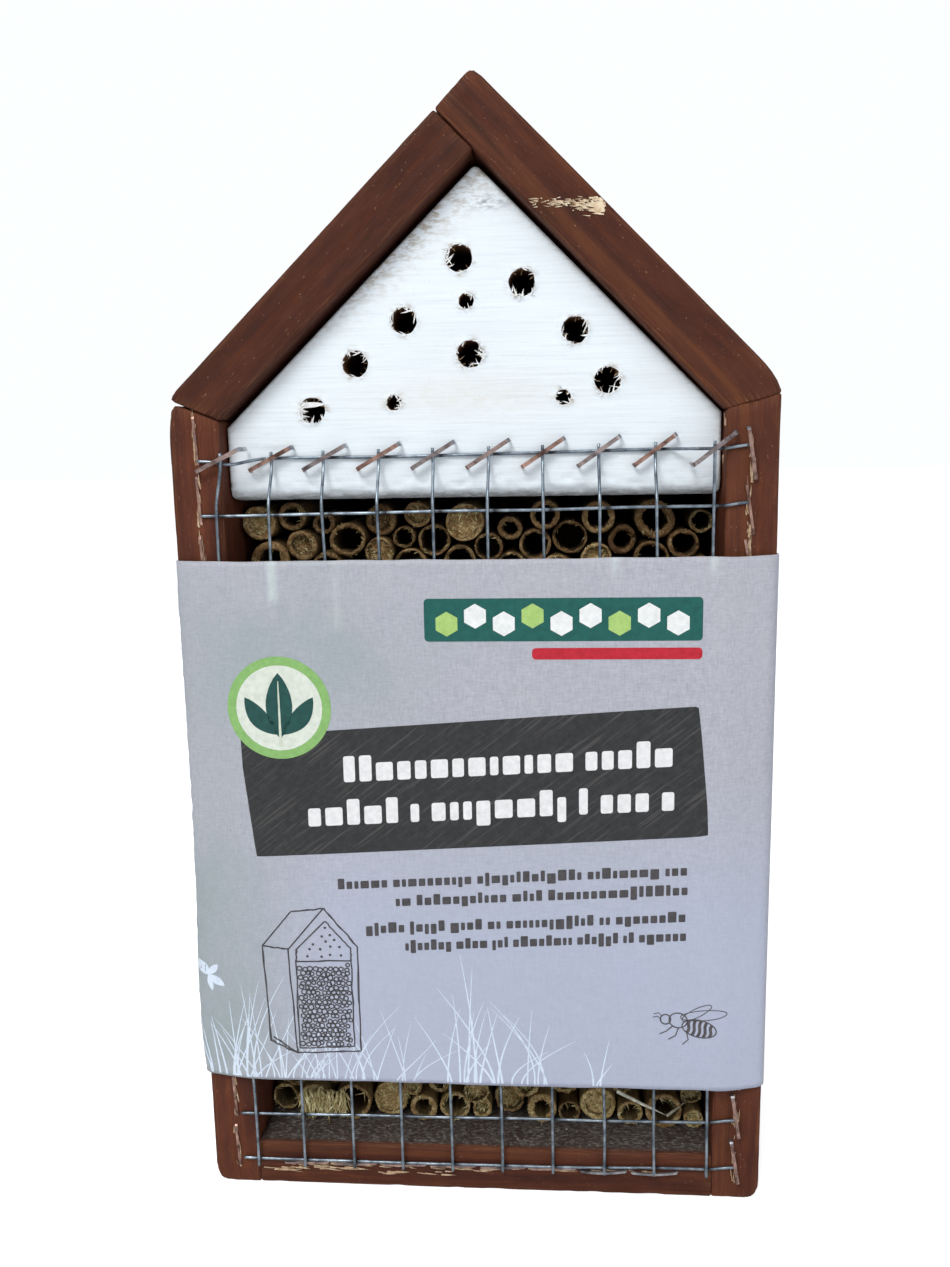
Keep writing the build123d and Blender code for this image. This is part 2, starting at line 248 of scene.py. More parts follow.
class Shader:
    """Short way to build a node material around one Principled shader."""

    def __init__(self, name):
        self.material = bpy.data.materials.new(name)
        self.material.use_nodes = True
        self.tree = self.material.node_tree
        self.surface = self.tree.nodes["Principled BSDF"]

    def node(self, kind, inputs, **settings):
        """New node with its settings, and a number, a colour or another node's output on each input."""
        made = self.tree.nodes.new("ShaderNode" + kind)
        for key, value in settings.items():
            setattr(made, key, value)
        self.feed(made, inputs)
        return made

    def feed(self, made, inputs):
        """Put a number, a colour or another node's output on each input of a node."""
        for key, value in inputs.items():
            if isinstance(value, bpy.types.NodeSocket):
                self.tree.links.new(value, made.inputs[key])
            else:
                made.inputs[key].default_value = value

    def attribute(self, name, output="Fac"):
        return self.node("Attribute", {}, attribute_name=name).outputs[output]

    def place(self):
        """The point's place in metres."""
        return self.node("TexCoord", {}).outputs["Object"]

    def turned(self, vector, angle):
        """A vector turned about the depth axis."""
        return self.node("Mapping", {"Vector": vector, "Rotation": (0, angle, 0)}).outputs["Vector"]

    def noise(self, vector, scale, offset=(0, 0, 0), detail=4.0, roughness=0.55, distortion=0.0):
        """Noise, with its own scale and offset on each axis of the vector."""
        spread = self.node("Mapping", {"Vector": vector, "Scale": scale, "Location": offset})
        return self.node("TexNoise", {
            "Vector": spread.outputs["Vector"],
            "Scale": 1.0,
            "Detail": detail,
            "Roughness": roughness,
            "Distortion": distortion,
        }).outputs["Fac"]

    def ramp(self, value, stops):
        """Colours at places between 0 and 1."""
        made = self.node("ValToRGB", {"Fac": value})
        band = made.color_ramp
        while len(band.elements) < len(stops):
            band.elements.new(0.5)
        for element, (at, colour) in zip(band.elements, stops):
            element.position = at
            element.color = (*colour, 1.0)
        return made.outputs["Color"]

    def level(self, value, low, high, to_low=0.0, to_high=1.0):
        return self.node("MapRange", {
            "Value": value,
            "From Min": low,
            "From Max": high,
            "To Min": to_low,
            "To Max": to_high,
        }).outputs["Result"]

    def math(self, kind, *values):
        """One operation, applied from left to right where there are more than two values."""
        total = values[0]
        for value in values[1:] or (0.0,):
            total = self.node("Math", {0: total, 1: value}, operation=kind).outputs[0]
        return total

    def times(self, *values):
        return self.math("MULTIPLY", *values)

    def plus(self, *values):
        return self.math("ADD", *values)

    def mix(self, share, first, second, blend="MIX"):
        first, second = ((*v, 1.0) if isinstance(v, tuple) else v for v in (first, second))
        made = self.node("Mix", {}, data_type="RGBA", blend_type=blend)
        self.feed(made, {"Factor": share, "A": first, "B": second})
        return made.outputs["Result"]

    def depth(self, vector):
        """The part of a vector that points to the back."""
        return self.node("SeparateXYZ", {0: vector}).outputs[1]

    def bump(self, height, distance, strength):
        made = self.node("Bump", {"Height": height, "Distance": distance, "Strength": strength})
        self.tree.links.new(made.outputs["Normal"], self.surface.inputs["Normal"])

    def finish(self, colour, roughness, metallic=0.0, specular=0.5):
        self.feed(self.surface, {
            "Base Color": colour,
            "Roughness": roughness,
            "Metallic": metallic,
            "Specular IOR Level": specular,
        })
        return self.material


def two_tone(low, high, dark, light):
    """Two colour stops for a ramp."""
    return [(low, dark), (high, light)]


# ---------------------------------------------------------------- materials

def stained_wood(name, lightness):
    """Rough softwood under dark reddish-brown stain. Its grain follows the attribute grain."""
    s = Shader(name)
    grain = s.attribute("grain", "Vector")
    broad = s.noise(grain, (0.012, 0.13, 0.13), distortion=0.6)
    streak = s.noise(grain, (0.02, 0.55, 0.55), (40, 7, 3), 5)
    fibre = s.noise(grain, (0.09, 3.0, 3.0), (5, 50, 9), 5, 0.7)
    blotch = s.noise(grain, (0.05, 0.06, 0.06), (9, 2, 70), 3)
    patch = s.noise(grain, (0.10, 0.30, 0.30), (6, 60, 20), 5, 0.65)
    specks = s.noise(grain, (0.9, 1.9, 1.9), (2, 6, 1), 3, 0.6)
    mixed = s.plus(s.times(broad, 0.45), s.times(streak, 0.22), s.times(patch, 0.33))
    stain = [
        (0.36, (0.036, 0.0095, 0.0050)),
        (0.47, (0.066, 0.0175, 0.0090)),
        (0.57, (0.092, 0.0260, 0.0120)),
        (0.66, (0.150, 0.0500, 0.0190)),
    ]
    base = s.ramp(mixed, [(at, tuple(c * lightness for c in colour)) for at, colour in stain])
    fine = s.mix(s.level(fibre, 0.35, 0.7), (0.78, 0.75, 0.74), (1.16, 1.15, 1.12))
    colour = s.mix(0.8, base, fine, "MULTIPLY")
    colour = s.mix(s.level(blotch, 0.54, 0.76, 0, 0.4), colour, (0.030, 0.012, 0.009))
    worn = s.times(s.attribute("edge"), s.level(fibre, 0.45, 0.65), 0.5)
    colour = s.mix(worn, colour, (0.20, 0.082, 0.038))
    # Lighter, more orange band along the front edge, where the attribute bright says so
    bare = s.times(s.attribute("bright"), s.level(streak, 0.3, 0.6))
    colour = s.mix(bare, colour, (0.19, 0.066, 0.024))
    colour = s.mix(s.level(specks, 0.685, 0.72, 0, 0.5), colour, (0.34, 0.22, 0.14))
    dusty = s.times(s.attribute("dust"), s.level(specks, 0.30, 0.52, 0.55, 0.97))
    colour = s.mix(dusty, colour, s.ramp(specks, [
        (0.40, (0.056, 0.048, 0.044)),
        (0.58, (0.110, 0.097, 0.090)),
        (0.66, (0.24, 0.235, 0.225)),
    ]))
    s.bump(s.plus(fibre, s.times(streak, 0.6)), 0.0003, 0.4)
    return s.finish(colour, s.level(streak, 0.3, 0.7, 0.60, 0.85), specular=0.22)


def painted_wood():
    """Thin bluish-white paint brushed over rough wood, worn and dirty in places, with painted shade along its
    bottom lip.
    """
    s = Shader("white_brushed_paint")
    grain = s.attribute("grain", "Vector")
    brush = s.noise(grain, (0.05, 1.6, 1.6), detail=6, roughness=0.65)
    broad = s.noise(grain, (0.03, 0.14, 0.14), (3, 8, 1))
    speck = s.noise(grain, (0.35, 0.9, 0.9), (31, 5, 12), 5, 0.7)
    fine = s.noise(grain, (1.6, 2.2, 2.2), (5, 1, 2), 4, 0.65)
    colour = s.ramp(brush, [
        (0.30, (0.70, 0.765, 0.825)),
        (0.45, (0.755, 0.825, 0.885)),
        (0.62, (0.785, 0.86, 0.925)),
    ])
    colour = s.mix(s.level(broad, 0.52, 0.74, 0, 0.22), colour, (0.66, 0.70, 0.73))
    colour = s.mix(s.level(fine, 0.655, 0.70, 0, 0.4), colour, (0.47, 0.42, 0.36))
    dirt = s.times(s.attribute("edge"), s.level(speck, 0.46, 0.60), 0.8)
    colour = s.mix(dirt, colour, (0.36, 0.29, 0.21))
    haze = s.times(s.attribute("haze"), s.level(speck, 0.35, 0.70, 0.25, 1.0))
    colour = s.mix(haze, colour, (0.66, 0.57, 0.43))
    smudge = s.times(s.attribute("smudge"), s.level(speck, 0.44, 0.60), 0.75)
    colour = s.mix(smudge, colour, (0.27, 0.29, 0.33))
    # Painted shade: a cool grey along the bottom lip, whose underside lies in shade
    painted_lip_shade = s.times(s.attribute("painted_lip_shade"), s.level(speck, 0.36, 0.62, 0.3, 1.0), 0.85)
    colour = s.mix(painted_lip_shade, colour, (0.30, 0.32, 0.34))
    s.bump(s.plus(brush, s.times(speck, 0.4)), 0.0002, 0.4)
    return s.finish(colour, s.level(brush, 0.3, 0.7, 0.5, 0.72), specular=0.35)


def bare_wood(name, dark, light):
    """Unpainted wood inside holes and on torn fibres."""
    s = Shader(name)
    spots = s.noise(s.place(), (900, 250, 900), detail=5, roughness=0.7)
    colour = s.ramp(spots, two_tone(0.32, 0.68, dark, light))
    # Paler where the attribute tone is high: at random on torn fibres, and in the bores as painted light at
    # the mouth, leaving the deeper walls darker
    tone = s.level(s.attribute("tone"), 0, 1, 0.0, 0.55)
    colour = s.mix(tone, colour, (1.0, 0.97, 0.9), "SOFT_LIGHT")
    s.bump(spots, 0.0002, 0.6)
    return s.finish(colour, s.level(spots, 0.3, 0.7, 0.65, 0.9), specular=0.25)


def reed_material(name, dark, middle, light, fibre_scale, bump):
    """Dry reed. The attribute tone changes it from reed to reed and, on the reeds, also paints light and
    shade: paler low reeds, darker high ones under the block and darker deep bores.
    """
    s = Shader(name)
    fibres = s.noise(s.place(), fibre_scale, detail=6, roughness=0.72)
    spots = s.noise(s.place(), (420, 420, 420), (3, 1, 8), 5, 0.7)
    mixed = s.plus(s.times(fibres, 0.6), s.times(spots, 0.4))
    colour = s.ramp(mixed, [(0.33, dark), (0.50, middle), (0.66, light)])
    shade = s.ramp(s.attribute("tone"), [
        (0.0, (0.36, 0.27, 0.20)),
        (0.5, (0.95, 0.92, 0.88)),
        (1.0, (1.75, 1.95, 2.0)),
    ])
    s.bump(mixed, bump, 0.8)
    colour = s.mix(1.0, colour, shade, "MULTIPLY")
    return s.finish(colour, s.level(spots, 0.3, 0.7, 0.55, 0.85), specular=0.3)


def wire_metal(name, dark, light, rust, rust_share, coarse=0.46):
    """Drawn wire with a patchy plating, with painted shade where the attribute shade says so, and steel-grey
    where tone says so: scraped bare, and at staple tips a painted glint.
    """
    s = Shader(name)
    patches = s.noise(s.place(), (260, 260, 260), detail=5, roughness=0.65)
    lines = s.noise(s.place(), (1500, 1500, 700), detail=3)
    stain = s.noise(s.place(), (120, 120, 120), (5, 5, 5))
    colour = s.ramp(patches, two_tone(0.36, 0.62, dark, light))
    colour = s.mix(s.level(stain, 0.60 - rust_share, 0.72, 0, 0.8), colour, rust)
    colour = s.mix(s.attribute("shade"), colour, (0.012, 0.013, 0.016))
    steel = s.ramp(patches, two_tone(0.36, 0.62, (0.10, 0.10, 0.12), (0.46, 0.47, 0.50)))
    colour = s.mix(s.attribute("tone"), colour, steel)
    s.bump(s.plus(patches, lines), 0.00006, 0.5)
    return s.finish(colour, s.level(patches, 0.3, 0.7, coarse, coarse - 0.18), metallic=0.8)


def plywood():
    """Thin plywood with a rotary-cut face and layered edges."""
    s = Shader("birch_plywood")
    place = s.place()
    broad = s.noise(place, (22, 22, 4), detail=5, distortion=1.6)
    fibre = s.noise(place, (900, 900, 40), roughness=0.7)
    pores = s.noise(place, (1800, 300, 130), (8, 8, 8), 3)
    colour = s.ramp(broad, [
        (0.30, (0.33, 0.20, 0.10)),
        (0.50, (0.46, 0.30, 0.16)),
        (0.70, (0.56, 0.39, 0.22)),
    ])
    fine = s.ramp(fibre, two_tone(0.3, 0.7, (0.72, 0.68, 0.62), (1.1, 1.1, 1.08)))
    colour = s.mix(0.6, colour, fine, "MULTIPLY")
    colour = s.mix(s.level(pores, 0.60, 0.70, 0, 0.5), colour, (0.16, 0.09, 0.05))
    ply_pitch = 0.0027
    ply = s.math("SINE", s.times(s.depth(place), math.tau / ply_pitch))
    normal = s.depth(s.node("NewGeometry", {}).outputs["Normal"])
    edge_on = s.level(s.math("ABSOLUTE", normal), 0.35, 0.15)
    dark_ply = s.times(edge_on, s.level(ply, -0.2, 0.5, 0, 0.7))
    colour = s.mix(dark_ply, colour, (0.20, 0.11, 0.06))
    s.bump(s.plus(fibre, pores), 0.00012, 0.5)
    return s.finish(colour, s.level(fibre, 0.3, 0.7, 0.55, 0.75), specular=0.3)


def printed_card():
    """Matt lilac card with a fine cloth-like speckle, greenish blotches, painted shade at the lower left and
    bluer lower parts.
    """
    s = Shader("lilac_printed_card")
    place = s.place()
    warp = s.noise(place, (2600, 900, 500), detail=3, roughness=0.8)
    weft = s.noise(place, (500, 900, 2600), (4, 2, 1), 3, 0.8)
    cloud = s.noise(place, (16, 16, 16), (7, 1, 3), 6, 0.6)
    stain = s.noise(place, (34, 34, 26), (1, 9, 4), 7, 0.72)
    weave = s.plus(s.times(warp, 0.5), s.times(weft, 0.5))
    colour = s.ramp(weave, [
        (0.36, (0.350, 0.355, 0.42)),
        (0.50, (0.425, 0.435, 0.50)),
        (0.64, (0.50, 0.51, 0.575)),
    ])
    colour = s.mix(s.level(cloud, 0.42, 0.72, 0, 0.3), colour, (0.46, 0.43, 0.48))
    colour = s.mix(s.times(s.attribute("cool"), 0.55), colour, (0.455, 0.515, 0.71))
    # Greenish blotches, and at the lower left of the front a painted shade in darker blue-green
    green = s.times(s.attribute("mottle_and_shade"), s.level(stain, 0.38, 0.62, 0.3, 1.0), 0.65)
    colour = s.mix(green, colour, (0.27, 0.35, 0.36))
    rubbed = s.times(s.attribute("rub"), s.level(stain, 0.40, 0.55, 0.3, 1.0))
    colour = s.mix(rubbed, colour, (0.66, 0.78, 0.76))
    s.bump(weave, 0.00004, 0.4)
    return s.finish(colour, s.level(weave, 0.3, 0.7, 0.42, 0.56), specular=0.3)


def printed_ink(name, dark, light, scratches=0.0):
    """Flat ink on card, slightly uneven, with optional slanting scratches."""
    s = Shader(name)
    place = s.place()
    speckle = s.noise(place, (700, 700, 700), detail=5, roughness=0.7)
    colour = s.ramp(speckle, two_tone(0.35, 0.65, dark, light))
    if scratches:
        lines = s.noise(s.turned(place, math.radians(38)), (60, 60, 1500), roughness=0.6)
        colour = s.mix(s.level(lines, 0.54, 0.66, 0, scratches), colour, (0.105, 0.10, 0.10))
    s.bump(speckle, 0.00002, 0.3)
    return s.finish(colour, s.level(speckle, 0.3, 0.7, 0.40, 0.52), specular=0.35)


def raw_card():
    """Grey-brown cut edge of the card."""
    s = Shader("raw_card_edge")
    fibres = s.noise(s.place(), (700, 700, 2500), detail=5, roughness=0.8)
    colour = s.ramp(fibres, two_tone(0.35, 0.65, (0.55, 0.53, 0.54), (0.80, 0.79, 0.80)))
    s.bump(fibres, 0.00005, 0.6)
    return s.finish(colour, s.level(fibres, 0.3, 0.7, 0.7, 0.9), specular=0.2)


# ---------------------------------------------------------------- boards

GRID_ALONG = 2.2
GRID_ACROSS = 0.95
GRID_DEEP = 1.15

EAVE_DROP = 1.3
EAVE_END = 3.0
EAVE_REACH = 6.5
JOINT_OVERLAP = 0.35


def grid_lines(length, step):
    """Even steps along a length, with a few closer ones in each rounded end."""
    ends = [EASE * share for share in (0.0, 0.12, 0.35, 0.65)]
    count = max(1, round((length - 2 * EASE) / step))
    middle = [EASE + (length - 2 * EASE) * i / count for i in range(count + 1)]
    return np.array(ends + middle + [length - e for e in reversed(ends)])


def box_surface(*lines):
    """Lattice points on the surface of a box with three sets of grid lines, and its quads."""
    counts = [len(line) for line in lines]
    quads = []
    for axis in range(3):
        u, v = [n for n in range(3) if n != axis]
        i, j = np.meshgrid(np.arange(counts[u] - 1), np.arange(counts[v] - 1), indexing="ij")
        for end in (0, counts[axis] - 1):
            corners = []
            for du, dv in ((0, 0), (1, 0), (1, 1), (0, 1)):
                index = [None, None, None]
                index[axis] = np.full(i.shape, end)
                index[u] = i + du
                index[v] = j + dv
                corners.append(((index[0] * counts[1] + index[1]) * counts[2] + index[2]).ravel())
            if (end == 0) != (axis == 1):
                corners.reverse()
            quads.append(np.stack(corners, 1))
    used, faces = np.unique(np.concatenate(quads), return_inverse=True)
    places = np.unravel_index(used, counts)
    return np.stack([line[place] for line, place in zip(lines, places)], 1), faces.reshape(-1, 4)


def round_corner(points, corner, first, second, reach_first, reach_second):
    """Round off the corner of a flat outline, over a reach along each of its two edges."""
    corner, first, second = (np.array(p, float) for p in (corner, first, second))
    edges = np.stack([first / np.linalg.norm(first), second / np.linalg.norm(second)], 1)
    along = (points - corner) @ np.linalg.inv(edges).T
    reach = np.array([reach_first, reach_second])
    square = 1 - along / reach
    size = np.maximum(np.linalg.norm(square, axis=1), 1e-9)
    shrunk = square * (square.max(1) / size)[:, None]
    moved = corner + (reach * (1 - shrunk)) @ edges.T
    return np.where((square > 0).all(1)[:, None], moved, points)


def points_along(line, share):
    """Points at shares of the length of a line through any number of corners."""
    steps = np.linalg.norm(np.diff(line, axis=0), axis=1)
    reach = np.concatenate([[0.0], np.cumsum(steps)]) / steps.sum()
    return np.stack([np.interp(share, reach, line[:, 0]), np.interp(share, reach, line[:, 1])], 1)


def bent_line(start, corner, end, reach_start, reach_end):
    """Line from start to end, round a softened corner."""
    start, corner, end = (np.array(p, float) for p in (start, corner, end))
    share = np.linspace(0, 1, 25)[:, None]
    line = np.concatenate([start + (corner - start) * share, corner + (end - corner) * share[1:] ** 3])
    return round_corner(line, corner, start - corner, end - corner, reach_start, reach_end)


def plank(part, inner, outer, material, seed, corners=(), bright=(0, 0, 0), dust=0.0):
    """
    Rough board between an inner and an outer line in the front view, from front to frame back.

    Each rounded corner has its place, its two edges and the reach of its rounding along each.
    bright holds the start, the end and the strength of a lighter, more orange band along the front edge.
    """
    inner, outer = np.array(inner, float), np.array(outer, float)
    length = (np.linalg.norm(inner[-1] - inner[0]) + np.linalg.norm(outer[-1] - outer[0])) / 2
    size = np.array([length, BOARD, FRAME_BACK - FRONT])
    steps = (GRID_ALONG, GRID_ACROSS, GRID_DEEP)
    local, faces = box_surface(*(grid_lines(*pair) for pair in zip(size, steps)))
    core = np.clip(local, EASE, size - EASE)
    off = local - core
    normal = off / np.maximum(np.linalg.norm(off, axis=1), 1e-9)[:, None]
    on_edge = (np.abs(off) > 0.02 * EASE).sum(1) >= 2
    lift = np.zeros(len(local))
    for n, (s, t, y) in enumerate(local):
        swell = rough(s / 45 + seed, t / 7, y / 7)
        saw = rough(s / 1.3, t / 9 + seed, y / 9)
        lift[n] = 0.06 * fbm(s / 16 + seed, t / 0.9, y / 0.9) + 0.10 * swell + 0.03 * saw - 0.10
        if on_edge[n]:
            lift[n] -= 0.45 * max(0.0, rough(s / 5 + seed, t / 4, y / 4))
    rounded = core + normal * (EASE + lift[:, None])
    share = rounded[:, 0] / length
    low, high = points_along(inner, share), points_along(outer, share)
    flat = low + (high - low) * rounded[:, 1:2] / BOARD
    for corner in corners:
        flat = round_corner(flat, *corner)
    if np.cross(inner[1] - inner[0], outer[0] - inner[0]) > 0:
        faces = faces[:, ::-1]
    across, deep = local[:, 1], local[:, 2]
    edge = np.clip(1.6 - np.partition(np.minimum(local, size - local), 1, axis=1)[:, 1], 0, 1)
    start, end, strength = bright
    band = smooth(across, start, start + 1.2) * smooth(-across, -end - 1.2, -end)
    values = {
        "grain": local + np.array([seed * 137.0, seed * 11.0, seed * 23.0]),
        "edge": edge,
        "dust": dust * smooth(across, BOARD - 0.7, BOARD - 0.1) * smooth(deep, 0.3, 2.0),
        "bright": strength * band * (1 - smooth(deep, 0.4, 2.0)),
    }
    points = np.stack([flat[:, 0], FRONT + rounded[:, 2], flat[:, 1]], 1)
    new_piece(part + "_plank", "house", points, faces, [material],
              node=part + "_board", values=values)


def build_boards():
    """The five stained boards, with the worn corners of the real ones."""
    dark = stained_wood("dark_stained_wood", 0.90)
    warm = stained_wood("warm_stained_wood", 1.02)
    pale = stained_wood("pale_stained_wood", 1.32)
    x0, x1 = INSIDE_HALF, HALF_WIDTH
    left_in = roof_height(-1, -x0, BOARD)
    left_top = LEFT_EAVE - 0.25
    right_in = roof_height(1, x0, BOARD) - EAVE_DROP
    right_eave = roof_height(1, x1)
    right_seam = right_eave - EAVE_END
    left_foot = ((-x1, 0), (0, 1), (1, 0), 5.0, 3.0)
    left_shoulder = ((-x1, left_top), (0, -1), (x1 - x0, left_in - left_top), 9.0, 2.6)
    right_foot = ((x1, 0), (0, 1), (-1, 0), 4.0, 3.0)
    eave = ((-x1, LEFT_EAVE), (1, math.tan(LEFT_SLOPE)), (x1 - x0, left_in - LEFT_EAVE), 2.5, 1.6)
    ridge = ((APEX_X, APEX_Z), (1, -1), (-1, -1), 2.2, 2.2)
    plank("left_side", [(-x0, 0), (-x0, left_in)], [(-x1, 0), (-x1, left_top)], pale, 1.7,
          [left_foot, left_shoulder])
    plank("right_side", [(x0, 0), (x0, right_in + JOINT_OVERLAP)],
          [(x1, 0), (x1, right_seam + JOINT_OVERLAP)], pale, 2.9, [right_foot], bright=(0.5, 4.5, 0.35))
    end = x0 + JOINT_OVERLAP
    plank("bottom", [(-end, 0), (end, 0)], [(-end, BOARD), (end, BOARD)], warm, 4.3,
          bright=(BOARD - 3.6, BOARD, 0.3), dust=1.0)
    plank("left_roof", [(-x0, left_in), roof_meeting(BOARD)], [(-x1, LEFT_EAVE), RIDGE_CORNER], dark, 6.1,
          [eave])
    right_slope = bent_line((x1, right_seam), (x1, right_eave), (APEX_X, APEX_Z), EAVE_END - 0.1, EAVE_REACH)
    plank("right_roof", [(x0, right_in), RIDGE_CORNER], right_slope, warm, 8.8, [ridge],
          bright=(1.2, 4.2, 0.35))


# ---------------------------------------------------------------- gable block

BLOCK_EDGE = block_high[0]
BLOCK_FLOOR = block_low[2]
BLOCK_ROOF_GAP = 1.3
BLOCK_TIP = roof_meeting(BOARD + BLOCK_ROOF_GAP)[1]
BLOCK_CORNER = 2.0
LIP_RADIUS = 3.4
SIDE_RADIUS = 0.9
SMALL_HOLE = 2.5

# Height, start and end of each hairline crack in the paint
CRACKS = [(204.5, 34, 46), (199.5, 44, 55), (226.0, 10, 24), (187.5, -55, -42), (193.0, 30, 52)]


def nest_holes():
    """Centre and radius of each nest hole, read from the rims on the CAD block's face."""
    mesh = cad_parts["gable_block"].data
    places = np.array([v.co for v in mesh.vertices]) / MM
    face = places[np.abs(places[:, 1] - BLOCK_FACE) < 0.01]
    face = np.unique(np.round(face, 3), axis=0)
    side_margin, floor_margin = 3, 8
    within = (np.abs(face[:, 0]) < BLOCK_EDGE - side_margin) & (face[:, 2] > BLOCK_FLOOR + floor_margin)
    rim = face[within]
    left = [tuple(p) for p in rim[:, [0, 2]]]
    holes = []
    while left:
        group = [left.pop()]
        near = group
        while near:
            near = [p for p in left if min(math.dist(p, q) for q in group) < 1.0]
            group = group + near
            left = [p for p in left if p not in near]
        ring = np.array(group)
        middle = (ring.min(0) + ring.max(0)) / 2
        radius = (ring.max(0) - ring.min(0)).max() / 2
        round_ring = np.abs(np.linalg.norm(ring - middle, axis=1) - radius).max() < 0.1
        if len(group) >= 8 and round_ring:
            holes.append((middle[0], middle[1], radius))
    return sorted(holes)


def block_sides():
    """Outward normals and offsets of the five sides of the block's front view."""
    sides = [(0.0, -1.0, -BLOCK_FLOOR), (1.0, 0.0, BLOCK_EDGE)]
    for side, slope in ((1, math.pi / 4), (-1, LEFT_SLOPE)):
        height = roof_height(side, 0.0, BOARD + BLOCK_ROOF_GAP)
        sides.append((side * math.sin(slope), math.cos(slope), math.cos(slope) * height))
    return sides + [(-1.0, 0.0, BLOCK_EDGE)]


BLOCK_SIDES = block_sides()


def side_gaps(x, z):
    """Distance of a point from each side of the block, inwards."""
    return [c - (nx * x + nz * z) for nx, nz, c in BLOCK_SIDES]


def block_ring(inset, step):
    """Points of the block's outline moved inwards, with rounded corners."""
    radius = max(BLOCK_CORNER - inset, 0.0)
    pull = inset + radius
    next_sides = BLOCK_SIDES[1:] + BLOCK_SIDES[:1]
    corners = []
    for (ax, az, ac), (bx, bz, bc) in zip(BLOCK_SIDES, next_sides):
        det = ax * bz - az * bx
        a, b = ac - pull, bc - pull
        corners.append(((a * bz - b * az) / det, (ax * b - bx * a) / det))
    points = []
    for n, (start, after) in enumerate(zip(corners, next_sides)):
        end = corners[(n + 1) % len(corners)]
        first = math.atan2(BLOCK_SIDES[n][1], BLOCK_SIDES[n][0])
        sweep = (math.atan2(after[1], after[0]) - first) % math.tau
        for i in range(5 if radius else 1):
            angle = first + sweep * i / 4
            points.append((start[0] + radius * math.cos(angle), start[1] + radius * math.sin(angle)))
        count = max(1, round(math.dist(start, end) / step))
        for i in range(1, count):
            points.append(part_way(start, end, i / count, after[0] * radius, after[1] * radius))
    return points


def quarter(distance, radius):
    """How far a rounded edge falls back at a distance from the outline."""
    gap = radius - min(max(distance, 0.0), radius)
    return radius - math.sqrt(radius ** 2 - gap ** 2)


def block_depth(x, z, holes):
    """Depth of the painted face at a point, with its grain, lip, cracks and torn rims."""
    gaps = side_gaps(x, z)
    back = max(quarter(gaps[0], LIP_RADIUS), *(quarter(g, SIDE_RADIUS) for g in gaps[1:]))
    brush = 0.04 * fbm(x / 13, 3.0, z / 0.8) + 0.06 * rough(x / 38, 9.0, z / 3.5)
    depth = BLOCK_FACE + 0.12 + back + brush
    for hx, hz, radius in holes:
        away = math.dist((x, z), (hx, hz)) - radius
        if away < 3.0:
            angle = math.atan2(z - hz, x - hx)
            ragged = 0.5 + fbm(math.cos(angle) * 2.2 + hx, math.sin(angle) * 2.2, hz)
            depth -= 0.42 * max(ragged, 0.0) * hump(away, 0, 0.7)
    for place, start, end in CRACKS:
        if start < x < end:
            line = place + 0.5 * rough(x / 6, place)
            depth += 0.45 * hump(z, line, 0.16) * math.sin(math.pi * (x - start) / (end - start))
    if z < BLOCK_FLOOR + 5:
        depth += 1.1 * max(0.0, fbm(x / 4, 21.0, z / 1.1, 3) - 0.08)
    return depth


def face_points(holes):
    """Points of the block's front view, with the point numbers of its outline and of each bore's rim."""
    ring_step = 0.9
    points = block_ring(0.0, ring_step)
    outline = list(range(len(points)))
    for inset in (0.12, 0.45, 0.9, 1.7):
        points += block_ring(inset, ring_step)
    rims = []
    for hx, hz, radius in holes:
        count = 30 if radius > SMALL_HOLE else 20
        rims.append(list(range(len(points), len(points) + count)))
        for grow in (0.0, 0.22, 0.55, 1.0, 1.6):
            wide = grow > 0.3
            for i in range(count):
                angle = math.tau * (i + 0.5 * wide) / count
                jitter = 0 if wide else 0.2 * fbm(math.cos(angle) * 3 + hx, math.sin(angle) * 3, hz)
                reach = radius + grow + jitter
                points.append((hx + reach * math.cos(angle), hz + reach * math.sin(angle)))
    draw = random.Random(11)
    x_step, z_step = 1.15, 0.72
    clear_of_edge, clear_of_rim = 2.2, 1.95
    z = BLOCK_FLOOR + 2.4
    row = 0
    while z < BLOCK_TIP:
        x = -BLOCK_EDGE + (row % 2) * x_step / 2
        while x < BLOCK_EDGE:
            inside = min(side_gaps(x, z)) > clear_of_edge
            clear = all(math.dist((x, z), (hx, hz)) > radius + clear_of_rim for hx, hz, radius in holes)
            if inside and clear:
                points.append((x + draw.uniform(-0.2, 0.2), z + draw.uniform(-0.12, 0.12)))
            x += x_step
        z += z_step
        row += 1
    return points, outline, rims


def turn_of(a, b, c):
    """Positive where three flat points turn to the left."""
    return (b.x - a.x) * (c.y - a.y) - (b.y - a.y) * (c.x - a.x)


def block_face(holes):
    """Painted face of the block with its mouths open, and the point numbers of its outline and rims."""
    points_2d, outline, rims = face_points(holes)
    edges = [pair for loop in [outline] + rims for pair in zip(loop, loop[1:] + loop[:1])]
    made = geometry.delaunay_2d_cdt([Vector(p) for p in points_2d], edges, [], 0, 1e-6, True)
    flat, triangles, origins = made[0], made[2], made[3]
    number = {source: n for n, sources in enumerate(origins) for source in sources}
    outline, *rims = [[number[i] for i in loop] for loop in [outline] + rims]
    points = [(p.x, block_depth(p.x, p.y, holes), p.y) for p in flat]
    faces = []
    for triangle in triangles:
        a, b, c = (flat[i] for i in triangle)
        middle = ((a.x + b.x + c.x) / 3, (a.y + b.y + c.y) / 3)
        in_hole = any(math.dist(middle, (hx, hz)) < radius - 0.25 for hx, hz, radius in holes)
        if in_hole or any(set(triangle) <= set(rim) for rim in rims):
            continue
        faces.append(tuple(triangle if turn_of(a, b, c) > 0 else reversed(triangle)))
    return points, faces, outline, rims


